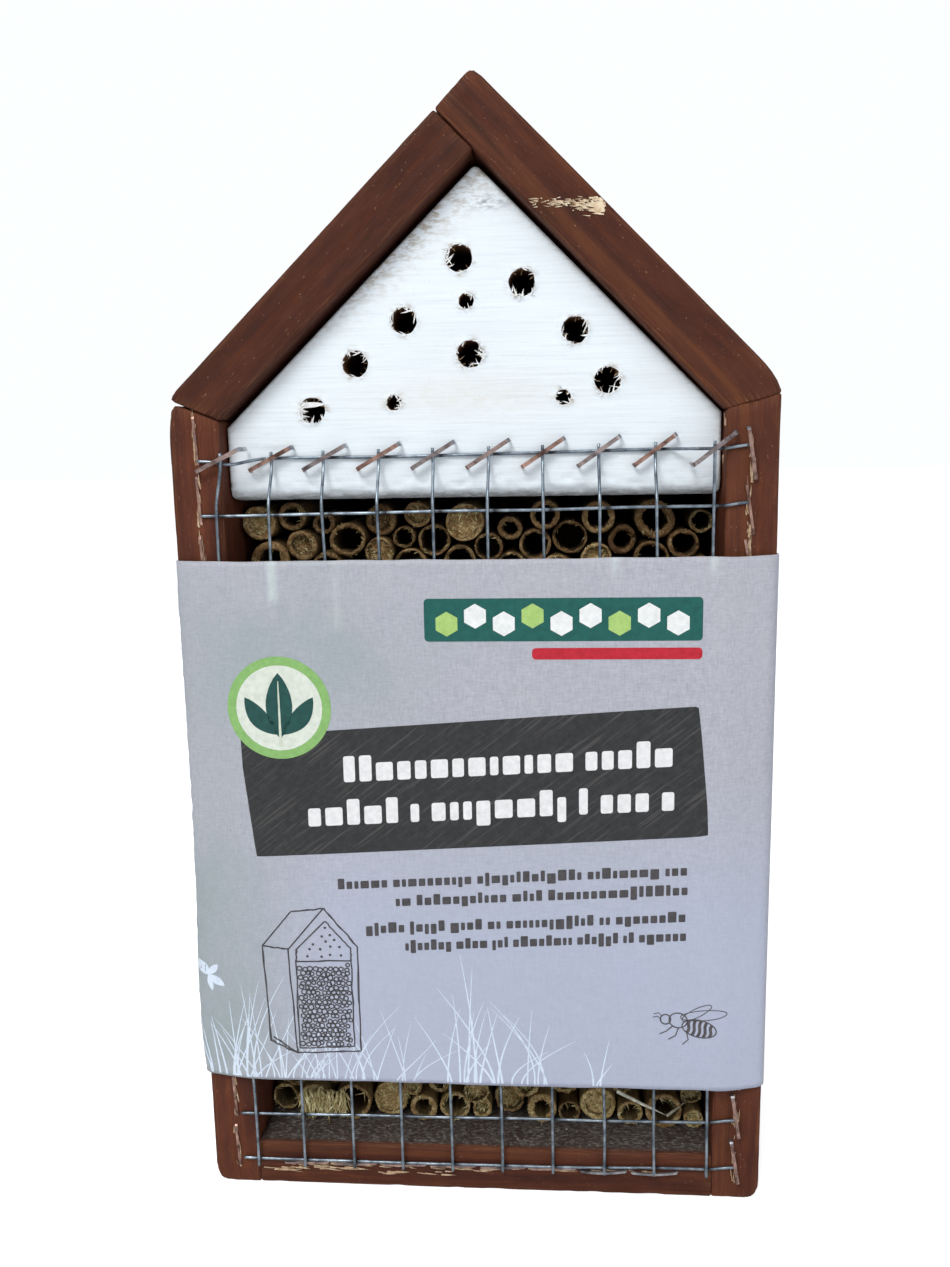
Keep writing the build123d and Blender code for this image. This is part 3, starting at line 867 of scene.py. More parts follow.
def block_walls(points, outline):
    """Sides and back of the block, from the face's outline to the back panel."""
    depths = [BLOCK_FACE + 3 + 9 * i for i in range(9)] + [FRAME_BACK - 0.2]
    rings = [outline]
    for y in depths:
        rings.append(list(range(len(points), len(points) + len(outline))))
        points += [(points[n][0], y, points[n][2]) for n in outline]
    points.append((0.0, depths[-1], (BLOCK_FLOOR + BLOCK_TIP) / 2))
    return skin(rings[::-1]) + fan(rings[-1][::-1], len(points) - 1)


def bore_walls(points, rim, hx, hz, radius):
    """Wall and end of one bore behind its rim."""
    depths = (0.35, 0.9, 1.8, 3.5, 7, 14) + ((26, 34) if radius < SMALL_HOLE else (28, 44, 59))
    rings = [rim]
    for depth in depths:
        rings.append(list(range(len(points), len(points) + len(rim))))
        for source in rim:
            x, _, z = points[source]
            away = math.dist((x, z), (hx, hz))
            reach = radius + 0.07 * fbm(x * 0.9, depth * 0.5, z * 0.9) if depth > 1 else away - 0.06
            x, z = part_way((hx, hz), (x, z), reach / away)
            points.append((x, BLOCK_FACE + depth + 0.1, z))
    points.append((hx, BLOCK_FACE + depths[-1] + 1.5, hz))
    return skin(rings) + fan(rings[-1], len(points) - 1)


def block_wear(points, holes):
    """Attributes of the block's points: worn edges, haze, a smudge, painted shade along the bottom lip, and
    the tone of the bores, which paints them paler at the mouth and darker deeper in.
    """
    x, y, z = points.T
    gaps = np.stack(side_gaps(x, z), 1)
    near_slope = np.clip(1 - gaps[:, 3] / 8.0, 0, 1) * smooth(z, 205, 236)
    near_rim = np.clip(1 - gaps.min(1) / 2.0, 0, 1)
    edge = np.clip(near_slope * 1.1 + near_rim * 0.45, 0, 1)
    tone = np.full(len(points), 0.15)
    for hx, hz, radius in holes:
        away = np.hypot(x - hx, z - hz) - radius
        turn = np.arctan2(z - hz, x - hx)
        patchy = 0.5 + 0.5 * np.sin(turn * 2 + hx) + 0.4 * np.sin(turn * 5 + hz)
        edge = np.maximum(edge, (y < BLOCK_FACE + 1.2) * patchy * hump(np.maximum(away, 0), 0, 0.9))
        # Painted light and shade in the bores: paler within 5 mm of the mouth, darker deeper in
        mouth = 1.0 - smooth(y, BLOCK_FACE + 0.5, BLOCK_FACE + 5.0)
        tone = np.where(np.abs(away) < 0.4, mouth, tone)
    return {
        "grain": points,
        "edge": edge,
        "haze": 0.40 * hump(x, -1.0, 22) * hump(z, 199, 4.5),
        "smudge": 1.3 * hump(x, 5.0, 4.2) * hump(z, 241, 1.5),
        # Painted shade along the bottom lip
        "painted_lip_shade": smooth(-z, -BLOCK_FLOOR - 2.6, -BLOCK_FLOOR - 0.6),
        "tone": tone,
    }


def build_block(holes):
    """Painted block with real bores, a brushed face and torn rims."""
    points, faces, outline, rims = block_face(holes)
    faces += block_walls(points, outline)
    painted = len(faces)
    for (hx, hz, radius), rim in zip(holes, rims):
        faces += bore_walls(points, rim, hx, hz, radius)
    kinds = [0] * painted + [1] * (len(faces) - painted)
    bored = bare_wood("bored_wood", (0.045, 0.022, 0.011), (0.20, 0.11, 0.055))
    points = np.array(points)
    new_piece("painted_gable_block", "house", points, faces, [painted_wood(), bored], kinds,
              "gable_block", values=block_wear(points, holes))


def build_hole_fibres(holes):
    """Torn wood fibres round the mouths of the nest holes, and a painted bridge across one of them."""
    draw = random.Random(5)
    white, brown = Bits(), Bits()
    for hx, hz, radius in holes:
        middle = np.array([hx, BLOCK_FACE, hz])
        clumps = [draw.uniform(0, math.tau) for _ in range(3)]
        for _ in range(int(14 * radius)):
            angle = draw.gauss(draw.choice(clumps), 0.4) if draw.random() < 0.8 else draw.uniform(0, math.tau)
            out = spoke(angle)
            base = middle + (0, -0.02, 0) + out * (radius + draw.uniform(-0.1, 0.4))
            lean = draw.uniform(-1.1, 0.8)
            turn = sideways(out) * draw.uniform(-1.1, 1.1)
            length = draw.uniform(0.3, 1.0) * draw.choice((0.7, 1.0, 1.8))
            tip = base + (out * lean + turn) * length + (0, -draw.uniform(0.15, 0.6) * length, 0)
            white.sliver(base, tip, draw.uniform(0.12, 0.45), 0.08, sideways(out), 0.1, draw.uniform(0.4, 1))
        for _ in range(draw.randint(2, 5)):
            out = spoke(draw.gauss(clumps[0], 0.6))
            base = middle + (0, -0.05, 0) + out * (radius + 0.1)
            turn = sideways(out) * draw.uniform(-0.7, 0.7) * radius
            tip = base - out * radius * draw.uniform(0.3, 0.85) + turn + (0, -draw.uniform(0.1, 0.5), 0)
            white.sliver(base, tip, draw.uniform(0.2, 0.45), 0.1, sideways(out), 0.3, 1.0)
        for _ in range(int(3 * radius)):
            out = spoke(draw.uniform(0, math.tau))
            depth = draw.uniform(0.4, 2.6)
            base = middle + (0, depth, 0) + out * radius
            tip = base - out * draw.uniform(0.3, 0.4 * radius)
            tip += (draw.uniform(-0.5, 0.5), -depth * 0.7, draw.uniform(-0.5, 0.5))
            brown.sliver(base, tip, draw.uniform(0.15, 0.4), 0.1, sideways(out), 0.1, draw.uniform(0.2, 0.8))
    add_bridge(white, draw, *holes[0])
    white.build("torn_rim_fibres", "painted_wood",
                bare_wood("torn_white_wood", (0.60, 0.60, 0.58), (0.84, 0.89, 0.94)))
    brown.build("torn_bore_fibres", "painted_wood",
                bare_wood("torn_brown_wood", (0.20, 0.12, 0.06), (0.56, 0.42, 0.27)))


def add_bridge(bits, draw, hx, hz, radius):
    """Painted splinter across the mouth of one nest hole, with loose fibres at its left end."""
    start = (hx - radius - 0.9, BLOCK_FACE + 0.25, hz + 1.2)
    bits.sliver(start, (hx + radius + 1.2, BLOCK_FACE - 0.1, hz + 1.5), 1.5, 0.3, (0, 0, 1), -0.25, 0.7)
    for _ in range(16):
        x, z = hx - radius + draw.uniform(-0.5, 0.6), hz + draw.uniform(-1.8, 1.4)
        tip = (x + draw.uniform(0.8, 2.2), BLOCK_FACE - draw.uniform(-0.2, 0.6), z + draw.gauss(0, 0.5))
        bits.sliver((x, BLOCK_FACE + 0.3, z), tip, draw.uniform(0.2, 0.6), 0.1, (0, 0, 1), 0.1,
                    draw.uniform(0.3, 1))


# ---------------------------------------------------------------- reeds

LOW_REEDS = 40.0
HIGH_REEDS = 150.0
FURRY_REEDS = (-48.0, -36.0)
SKIN, CUT, BORE = range(3)


class Reed:
    """One natural reed in the place of a CAD reed, with an uneven cut end."""

    def __init__(self, draw, low, high):
        self.x, self.z = (low[0] + high[0]) / 2, (low[2] + high[2]) / 2
        self.radius = (high[0] - low[0]) / 2
        self.is_low = self.z < LOW_REEDS
        self.furry = self.is_low and FURRY_REEDS[0] < self.x < FURRY_REEDS[1]
        self.front = low[1] - draw.uniform(0.0, 5.0 if self.is_low else 1.5)
        self.back = high[1]
        self.oval = draw.uniform(0.0, 0.06)
        self.turn = draw.uniform(0, math.pi)
        self.wall = self.radius * draw.choice((0.17, 0.22, 0.27, 0.36)) * draw.uniform(0.9, 1.15)
        self.filled = self.furry or draw.random() < (0.40 if self.is_low else 0.22)
        self.plug = draw.uniform(0.6, 2.5) if self.filled else draw.uniform(7, 40)
        self.key = draw.uniform(0, 100)
        # Random tone from reed to reed, paler where filled; painted light and shade make the low reeds paler
        # than the high ones in the block's shade
        tone = draw.gauss(0.30, 0.17) + 0.46 * self.is_low + 0.12 * self.filled
        self.tone = min(max(tone, 0.04), 1.0)

    def surface(self, points, faces, kinds, tones):
        """Add the skin, the cut end and the bore down to its plug."""
        # Depth behind the front, share of the wall's thickness, raggedness and kind of each ring
        depth = self.back - self.front
        rows = [(depth * share, 1.0, 0.0, SKIN) for share in (1.0, 0.66, 0.33, 0.08, 0.02)]
        rows.append((0.35, 0.985, 0.3, SKIN))
        rows += [(0.0, 0.94, 0.7, CUT), (0.0, 0.5, 0.8, CUT), (0.15, 0.04, 0.6, CUT)]
        rows += [(inner, 0.0, 0.1, BORE) for inner in (0.8, 2.2, 5.0, 12.0, 25.0) if inner < self.plug]
        rows.append((self.plug, -0.02, 0.2, BORE))
        count = 24
        rings = number_rings(len(points), count, len(rows))
        for y, share, ragged, kind in rows:
            for i in range(count):
                angle = math.tau * i / count
                cx, cz = math.cos(angle), math.sin(angle)
                oval = self.oval * self.radius * (math.cos(2 * (angle - self.turn)) - 1)
                rib = 0.05 * rough(cx * 3 + self.key, cz * 3, y / 25)
                reach = self.radius + oval + self.wall * (share - 1) + rib
                if kind:
                    lump = rough(cx * 2.5 + self.key, cz * 2.5, y / 3)
                    reach += 0.16 * self.radius * (1 - share) * lump
                jag = ragged * 1.7 * rough(cx * 4 + self.key, cz * 4, share * 3)
                points.append((self.x + cx * reach, self.front + y + jag, self.z + cz * reach))
                # Painted shade: deeper than 4 mm in the bore the tone is halved
                tones.append(self.tone * (0.5 if kind == BORE and y > 4 else 1.0))
        faces += skin(rings)
        for row in rows[1:]:
            kinds += [row[3]] * count
        end = len(points)
        points += [(self.x, self.back, self.z), (self.x, self.front + self.plug - 0.3, self.z)]
        # The bore's end is paler where a plug fills it, and darker as painted shade where it lies deep in an
        # empty reed
        tones += [self.tone, self.tone * (1.2 if self.filled else 0.5)]
        faces += fan(rings[0][::-1], end) + fan(rings[-1], end + 1)
        kinds += [SKIN] * count + [CUT if self.filled else BORE] * count

    def fray(self, bits, draw):
        """Add frayed fibres on the cut end, and loose ones inside a filled reed."""
        visible = self.is_low or self.z > HIGH_REEDS
        count = draw.randint(24, 60) if visible else draw.randint(6, 12)
        if self.furry:
            count *= 3
        stretch = 1.0 + 1.1 * self.furry + draw.uniform(0, 0.7) * self.is_low
        middle = np.array([self.x, self.front, self.z])
        for _ in range(count):
            out = spoke(draw.uniform(0, math.tau))
            base = middle + (0, 0.2, 0) + out * (self.radius - self.wall * draw.uniform(0.1, 0.9))
            length = draw.uniform(0.4, 1.8) * stretch
            lean = np.array([0, -draw.uniform(0.1, 0.7), 0]) - out * draw.uniform(-0.15, 0.8)
            tip = base + length * (lean + sideways(out) * draw.uniform(-0.9, 0.9))
            bits.sliver(base, tip, draw.uniform(0.08, 0.3), 0.09, sideways(out), 0.12,
                        min(1, self.tone + draw.uniform(-0.15, 0.45)))
        for _ in range(count if self.filled else 0):
            out = spoke(draw.uniform(0, math.tau))
            base = middle + (0, self.plug, 0) + out * (self.radius - self.wall) * math.sqrt(draw.random())
            lean = np.array([draw.uniform(-1, 1), -draw.uniform(0.4, 1.2), draw.uniform(-1, 1)])
            tip = base + lean * draw.uniform(0.6, 2.0)
            offset = (tip - middle) * (1, 0, 1)
            spread = np.linalg.norm(offset)
            if spread > self.radius * 0.95:
                tip -= offset * (1 - self.radius * 0.95 / spread)
            bits.sliver(base, tip, draw.uniform(0.12, 0.45), 0.12, (1, 0, 0.4), 0.15,
                        min(1, self.tone + draw.uniform(0.1, 0.5)))


def build_reeds():
    """The bundle of natural reeds in the places of the CAD reeds, with frayed ends."""
    materials = [
        reed_material("reed_skin", (0.05, 0.028, 0.011), (0.15, 0.095, 0.040), (0.30, 0.21, 0.09),
                      (900, 60, 900), 0.0002),
        reed_material("reed_cut_end", (0.060, 0.028, 0.010), (0.26, 0.155, 0.060), (0.66, 0.53, 0.30),
                      (1500, 500, 1500), 0.0003),
        reed_material("reed_bore", (0.025, 0.015, 0.007), (0.10, 0.065, 0.028), (0.24, 0.17, 0.08),
                      (900, 90, 900), 0.0003),
    ]
    draw = random.Random(31)
    fibres = Bits()
    for node in ("narrow_reeds", "medium_reeds", "wide_reeds"):
        points, faces, kinds, tones = [], [], [], []
        for low, high in loose_parts(node):
            reed = Reed(draw, low, high)
            reed.surface(points, faces, kinds, tones)
            reed.fray(fibres, draw)
        new_piece("natural_" + node, "house", points, faces, materials, kinds, node,
                  values={"tone": tones})
    for _ in range(260):
        x = draw.uniform(*FURRY_REEDS)
        base = np.array([x, FRONT + 9.5 - draw.uniform(0, 1.5), draw.uniform(16.0, 21.5)])
        tip = base + (draw.gauss(0, 0.8), -draw.uniform(0.3, 1.8), -draw.uniform(1.2, 3.4))
        fibres.sliver(base, tip, draw.uniform(0.15, 0.45), 0.12, (1, 0, 0), 0.2, draw.uniform(0.45, 1))
    fibres.build("reed_fibres", "reed", reed_material(
        "reed_fibre", (0.16, 0.10, 0.04), (0.36, 0.28, 0.13), (0.74, 0.68, 0.46), (700, 200, 700), 0.0001))


# ---------------------------------------------------------------- sleeve

CARD = 0.4
SLEEVE_HALF = sleeve_high[0]
SLEEVE_FRONT = sleeve_low[1]
SLEEVE_BACK = sleeve_high[1] - CARD
SLEEVE_FLOOR = sleeve_low[2]
SLEEVE_TOP = sleeve_high[2]
SLEEVE_CORNER = 2.9
BOW_START = 57.0
BOW_END = 71.0
BOW_DEPTH = 2.2
FLAP = 18.0

# Middle, half width, lower end and strength of each pale rub mark under the sleeve's top edge
RUB_MARKS = [
    (-46.0, 0.8, 151.5, 1.0),
    (-31.0, 0.9, 145.0, 0.25),
    (33.0, 0.7, 157.0, 0.5),
    (55.0, 0.9, 156.5, 0.5),
]


def sleeve_path():
    """Straight and round runs of the sleeve's outside, from the middle of the front to the right."""
    half_x = SLEEVE_HALF - SLEEVE_CORNER
    y_front, y_back = SLEEVE_FRONT + SLEEVE_CORNER, SLEEVE_BACK - SLEEVE_CORNER
    arc = math.pi / 2 * SLEEVE_CORNER
    return [
        ("line", half_x, (0.0, SLEEVE_FRONT), (1, 0)),
        ("arc", arc, (half_x, y_front), -math.pi / 2),
        ("line", y_back - y_front, (SLEEVE_HALF, y_front), (0, 1)),
        ("arc", arc, (half_x, y_back), 0.0),
        ("line", 2 * half_x, (half_x, SLEEVE_BACK), (-1, 0)),
        ("arc", arc, (-half_x, y_back), math.pi / 2),
        ("line", y_back - y_front, (-SLEEVE_HALF, y_back), (0, -1)),
        ("arc", arc, (-half_x, y_front), math.pi),
        ("line", half_x, (-half_x, SLEEVE_FRONT), (1, 0)),
    ]


SLEEVE_PATH = sleeve_path()
SLEEVE_ROUND = sum(run[1] for run in SLEEVE_PATH)


def card_point(u, z, lift=0.0):
    """Point on the sleeve at a distance u round it from the middle of the front, raised by lift."""
    rest = u % SLEEVE_ROUND
    for kind, length, start, heading in SLEEVE_PATH:
        if rest <= length + 1e-9:
            break
        rest -= length
    if kind == "line":
        x, y = start[0] + heading[0] * rest, start[1] + heading[1] * rest
        nx, ny = heading[1], -heading[0]
    else:
        angle = heading + rest / SLEEVE_CORNER
        nx, ny = math.cos(angle), math.sin(angle)
        x, y = start[0] + nx * SLEEVE_CORNER, start[1] + ny * SLEEVE_CORNER
    near_front = float(smooth(-y, 10.0, 40.0))
    bow = BOW_DEPTH * float(smooth(abs(x), BOW_START, BOW_END)) * near_front
    left = float(smooth(-x, SLEEVE_HALF - 9.0, SLEEVE_HALF - 1.0)) * near_front
    bulge = left * (1.2 * hump(z, SLEEVE_FLOOR + 20, 26) + 0.22 * rough(0.5, z / 2.3, 7.0))
    wave = 0.25 * (0.5 + 0.5 * rough(x / 42, z / 37, y / 42 + 4))
    out = lift + wave * (1.0 if ny < -0.5 else 0.4)
    return x + nx * out - bulge, y + ny * out + bow, z


def build_sleeve():
    """Printed card band: outer and inner faces, cut edges and the glued overlap at the back."""
    columns, rows = 400, 104
    heights = SLEEVE_FLOOR + (SLEEVE_TOP - SLEEVE_FLOOR) * np.arange(rows + 1) / rows
    points = []
    for layer in (0.0, -CARD):
        for row, z in enumerate(heights):
            for column in range(columns):
                x, y, high = card_point(SLEEVE_ROUND * column / columns, z, layer)
                if row in (0, rows):
                    high += 0.22 * rough(x / 9, y / 9, 1.0)
                points.append((x, y, high))
    x, y, _ = np.array(points).T
    z = np.tile(np.repeat(heights, columns), 2)
    front = y < FRONT
    top_left = hump(x, -42, 30) * hump(z, 140, 22)
    # Painted shade at the lower left of the front, where the card curves back towards its left edge
    low_left = hump(x, -66, 15) * hump(z, 56, 38)
    rub = sum(hump(x, middle, wide) * smooth(z, low, low + 3) * size for middle, wide, low, size in RUB_MARKS)
    values = {
        "mottle_and_shade": np.minimum(1.25, 0.8 * top_left + 1.5 * low_left + 0.12),
        "cool": np.where(front, smooth(-z, -120.0, -60.0) * smooth(x, -66.0, -25.0), 0.3),
        "rub": rub * front,
    }
    rings = number_rings(0, columns, 2 * (rows + 1))
    faces = skin(rings[:rows + 1] + rings[:rows:-1] + rings[:1])
    kinds = [0] * (rows * columns) + [1] * (len(faces) - rows * columns)
    materials = [printed_card(), raw_card()]
    new_piece("card_sleeve", "sleeve", points, faces, materials, kinds, "cardboard_sleeve",
              values=values)
    build_flap(materials)


def build_flap(materials):
    """Outer layer of the glued overlap on the back."""
    low_u = SLEEVE_ROUND / 2 - HALF_WIDTH / 2 - FLAP / 2
    low_z, high_z = SLEEVE_FLOOR + 0.3, SLEEVE_TOP - 0.3
    rows = 50
    lifts = [(0.0, -0.02), (0.0, CARD), (0.33, CARD), (0.66, CARD), (1.0, CARD), (1.0, -0.02)]
    count = len(lifts)
    points = [card_point(low_u + FLAP * share, low_z + (high_z - low_z) * row / rows, lift)
              for row in range(rows + 1) for share, lift in lifts]
    rings = number_rings(0, count, rows + 1)
    faces = skin(rings) + [rings[0][::-1], rings[-1]]
    kinds = [0, 1, 0, 0, 0, 1] * rows + [1, 1]
    values = {"mottle_and_shade": [0.12] * len(points), "cool": [0.3] * len(points), "rub": [0.0] * len(points)}
    new_piece("card_sleeve_overlap", "sleeve", points, faces, materials, kinds, soft=False,
              values=values)


# ---------------------------------------------------------------- print on the sleeve

PRINT_THICKNESS = 0.03
GRASS_LIFT = 0.03
INK_LIFT = 0.05
OVERPRINT_LIFT = 0.09

# Corners of the banner, the height of its words and the slope of their lines
BANNER = [(-53.1, 90.6), (54.7, 97.0), (52.1, 127.6), (-55.5, 120.1)]
BANNER_WORDS = 4.5
BANNER_RISE = 0.055

BADGE = (-45.8, 127.5)
BADGE_RADIUS = 12.4

# Middle, spread, count, height, lean and width of the blades in each clump of printed grass
GRASS = [
    (-62, 6, 16, 28, 10, 0.40),
    (-52, 6, 12, 22, 12, 0.32),
    (-40, 6, 14, 16, 9, 0.28),
    (-25, 9, 16, 20, 12, 0.28),
    (-6, 5, 8, 30, 10, 0.42),
    (3, 4, 6, 33, 16, 0.50),
    (12, 5, 7, 22, 14, 0.36),
    (28, 3, 3, 12, 5, 0.4),
    (95, 8, 6, 26, 12, 0.45),
    (130, 8, 7, 30, 12, 0.45),
    (-100, 8, 6, 24, 12, 0.45),
    (-128, 8, 7, 30, 12, 0.45),
    (SLEEVE_ROUND / 2 + 10, 8, 7, 28, 12, 0.5),
]


class Print:
    """Thin ink shapes at a small lift over the sleeve. Places are (u, z), round and up it."""

    def __init__(self, lift):
        self.lift = lift
        self.points = []
        self.faces = []

    def area(self, outline, step=3.0):
        """Filled outline, split into small pieces so that it follows the card."""
        low_x, low_z = np.min(outline, 0)
        high_x, high_z = np.max(outline, 0)
        flat = list(outline)
        x = low_x + step / 2
        while x < high_x:
            z = low_z + step / 2
            while z < high_z:
                if inside_outline(x, z, outline, step * 0.3):
                    flat.append((x, z))
                z += step
            x += step
        count = len(outline)
        edges = [(i, (i + 1) % count) for i in range(count)]
        made = geometry.delaunay_2d_cdt([Vector(p) for p in flat], edges, [], 1, 1e-6, False)
        self.add(made[0], made[2])

    def add(self, flat, triangles):
        """Closed thin sheet from flat triangles."""
        start = len(self.points)
        count = len(flat)
        for lift in (self.lift, self.lift - PRINT_THICKNESS):
            self.points += [card_point(p.x, p.y, lift) for p in flat]
        open_edges = {}
        for triangle in triangles:
            if turn_of(*(flat[i] for i in triangle)) < 0:
                triangle = triangle[::-1]
            self.faces.append([start + i for i in triangle])
            self.faces.append([start + count + i for i in triangle[::-1]])
            for k in range(3):
                a, b = triangle[k], triangle[(k + 1) % 3]
                if (b, a) in open_edges:
                    del open_edges[(b, a)]
                else:
                    open_edges[(a, b)] = True
        for a, b in open_edges:
            self.faces.append((start + b, start + a, start + count + a, start + count + b))

    def stroke(self, path, widths):
        """Ribbon along a path with one width, or one width per point."""
        if isinstance(widths, float):
            widths = [widths] * len(path)
        flat = []
        for n, ((x, z), width) in enumerate(zip(path, widths)):
            before, after = path[max(n - 1, 0)], path[min(n + 1, len(path) - 1)]
            dx, dz = after[0] - before[0], after[1] - before[1]
            half = width / 2 / max(math.hypot(dx, dz), 1e-9)
            flat += [Vector((x - dz * half, z + dx * half)), Vector((x + dz * half, z - dx * half))]
        triangles = []
        for a in range(0, len(flat) - 2, 2):
            triangles += [[a, a + 1, a + 3], [a, a + 3, a + 2]]
        self.add(flat, triangles)

    def ring(self, path, width):
        """Closed ribbon round a path."""
        self.stroke(path + path[:1], width)

    def build(self, name, ink, dark, light, scratches=0.0):
        new_piece(name, "sleeve", self.points, self.faces,
                  [printed_ink(ink, dark, light, scratches)], soft=False)


def inside_outline(x, z, outline, margin):
    """True if a point lies inside an outline and clear of its edge."""
    inside = False
    nearest = 1e9
    for (ax, az), (bx, bz) in zip(outline, outline[1:] + outline[:1]):
        if (az > z) != (bz > z) and x < (bx - ax) * (z - az) / (bz - az) + ax:
            inside = not inside
        run = max((bx - ax) ** 2 + (bz - az) ** 2, 1e-9)
        share = min(max(((x - ax) * (bx - ax) + (z - az) * (bz - az)) / run, 0), 1)
        nearest = min(nearest, math.hypot(x - ax - share * (bx - ax), z - az - share * (bz - az)))
    return inside and nearest > margin


def between(a, b, count, wobble=0.0, key=0.0):
    """Points from a to b, with an optional hand-drawn wobble."""
    path = []
    for i in range(count + 1):
        shift = wobble * rough(i / count * 5 + key, key)
        path.append(part_way(a, b, i / count, shift, shift))
    return path


def ellipse(cx, cz, rx, rz, turn=0.0, count=36):
    """Points on an ellipse."""
    angles = [math.tau * i / count for i in range(count)]
    return [turned_point((cx, cz), rx * math.cos(a), rz * math.sin(a), turn) for a in angles]


def bar(left, right, low, high, rise=0.0, radius=0.9):
    """Bar with rounded corners. rise is its slope."""
    x0, x1, z0, z1 = left + radius, right - radius, low + radius, high - radius
    outline = []
    for cx, cz, first in ((x1, z0, -90), (x1, z1, 0), (x0, z1, 90), (x0, z0, 180)):
        for step in range(4):
            angle = math.radians(first + step * 30)
            x = cx + radius * math.cos(angle)
            outline.append((x, cz + radius * math.sin(angle) + rise * (x - left)))
    return outline


def word_blocks(ink, left, right, z, lengths, size, rise, draw):
    """A line of words between two ends, each word a row of plain blocks instead of letters."""
    blocks = []
    x = 0.0
    for length in lengths:
        for _ in range(length):
            width = size * draw.choice((0.36, 0.5, 0.54, 0.58, 0.74))
            top = size * draw.choice((1.0, 1.0, 1.0, 1.0, 1.42))
            low = -0.36 * size if draw.random() < 0.07 else 0.0
            blocks.append((x, x + width, low, top))
            x += width + 0.19 * size
        x += 0.34 * size
    fit = (right - left) / blocks[-1][1]
    for start, end, low, top in blocks:
        base = z + rise * (start * fit + left - right)
        ink.area(bar(left + start * fit, left + end * fit, base + low, base + top, rise, 0.12 * size), 6.0)


def rough_quad(corners, step, depth, key):
    """Outline of a four-sided patch with torn-looking edges."""
    outline = []
    for side, (a, b) in enumerate(zip(corners, corners[1:] + corners[:1])):
        length = math.dist(a, b)
        nx, nz = (b[1] - a[1]) / length, -(b[0] - a[0]) / length
        count = round(length / step)
        for i in range(count):
            push = depth * rough(i / count * length / 1.3, side + key)
            outline.append(part_way(a, b, i / count, nx * push, nz * push))
    return outline


def leaf(base, tip, width, bend=0.0):
    """Pointed leaf between two points."""
    dx, dz = tip[0] - base[0], tip[1] - base[1]
    length = math.hypot(dx, dz)
    outline = []
    for side in (1, -1):
        for i in range(12):
            share = i / 12 if side == 1 else 1 - i / 12
            swell = math.sin(math.pi * share)
            reach = (side * width / 2 * swell ** 0.8 + bend * swell) / length
            outline.append((base[0] + dx * share - dz * reach, base[1] + dz * share + dx * reach))
    return outline


def build_banner():
    """Dark slanted banner with light scratches, and bars in place of its words."""
    banner = Print(INK_LIFT)
    banner.area(rough_quad(BANNER, 0.7, 0.7, 3.0))
    banner.build("banner_ink", "charcoal_ink", (0.020, 0.021, 0.023), (0.034, 0.035, 0.037), 0.5)
    words = Print(OVERPRINT_LIFT)
    draw = random.Random(3)
    word_blocks(words, -31.0, 46.3, 113.6, (13, 5), BANNER_WORDS, BANNER_RISE, draw)
    word_blocks(words, -40.0, 46.8, 103.0, (5, 1, 8, 1, 3, 1), BANNER_WORDS, BANNER_RISE, draw)
    words.build("banner_bars", "white_ink", (0.70, 0.71, 0.73), (0.84, 0.85, 0.87))


def build_badge():
    """Round green badge with three plain leaves."""
    x, z = BADGE
    disc, inner, leaves, veins = Print(0.07), Print(0.11), Print(0.15), Print(0.19)
    disc.area(ellipse(x, z, BADGE_RADIUS, BADGE_RADIUS, count=60))
    inner.area(ellipse(x, z, BADGE_RADIUS - 2.1, BADGE_RADIUS - 2.1, count=54))
    leaves.area(leaf((x, z - 7.5), (x, z + 8.5), 6.4), 1.6)
    for side in (-1, 1):
        leaves.area(leaf((x + side * 0.4, z - 6.5), (x + side * 8.2, z + 2.6), 4.4, side * -0.8), 1.6)
    veins.stroke(between((x, z - 9.2), (x, z + 6.5), 8), [0.7, 0.6, 0.6, 0.5, 0.5, 0.4, 0.4, 0.3, 0.2])
    disc.build("badge_disc", "leaf_green_ink", (0.21, 0.42, 0.13), (0.27, 0.50, 0.17))
    inner.build("badge_centre", "pale_green_ink", (0.60, 0.66, 0.58), (0.74, 0.79, 0.72))
    leaves.build("badge_leaves", "dark_teal_ink", (0.008, 0.060, 0.055), (0.014, 0.085, 0.075))
    veins.build("badge_veins", "vein_ink", (0.55, 0.62, 0.50), (0.66, 0.72, 0.62))


def build_panel():
    """Teal panel with a row of honeycomb cells, over a thin red strip."""
    teal, strip = Print(INK_LIFT), Print(INK_LIFT)
    white, lime = Print(OVERPRINT_LIFT), Print(OVERPRINT_LIFT)
    teal.area(bar(-10.8, 52.7, 143.3, 153.3), 2.5)
    for n in range(9):
        cell = ellipse(-5.6 + 6.6 * n, 148.3 + (0.9 if n % 2 else -0.9), 2.9, 2.9, math.pi / 6, 6)
        (white if n % 3 else lime).area(cell, 1.5)
    strip.area(bar(14.0, 52.7, 139.0, 141.7), 2.0)
    teal.build("panel_ink", "teal_ink", (0.006, 0.085, 0.075), (0.010, 0.115, 0.10))
    white.build("panel_cells", "cell_white_ink", (0.72, 0.75, 0.76), (0.86, 0.88, 0.89))
    lime.build("panel_green_cells", "lime_ink", (0.33, 0.52, 0.15), (0.42, 0.62, 0.20))
    strip.build("panel_strip", "red_ink", (0.42, 0.010, 0.025), (0.55, 0.018, 0.040))


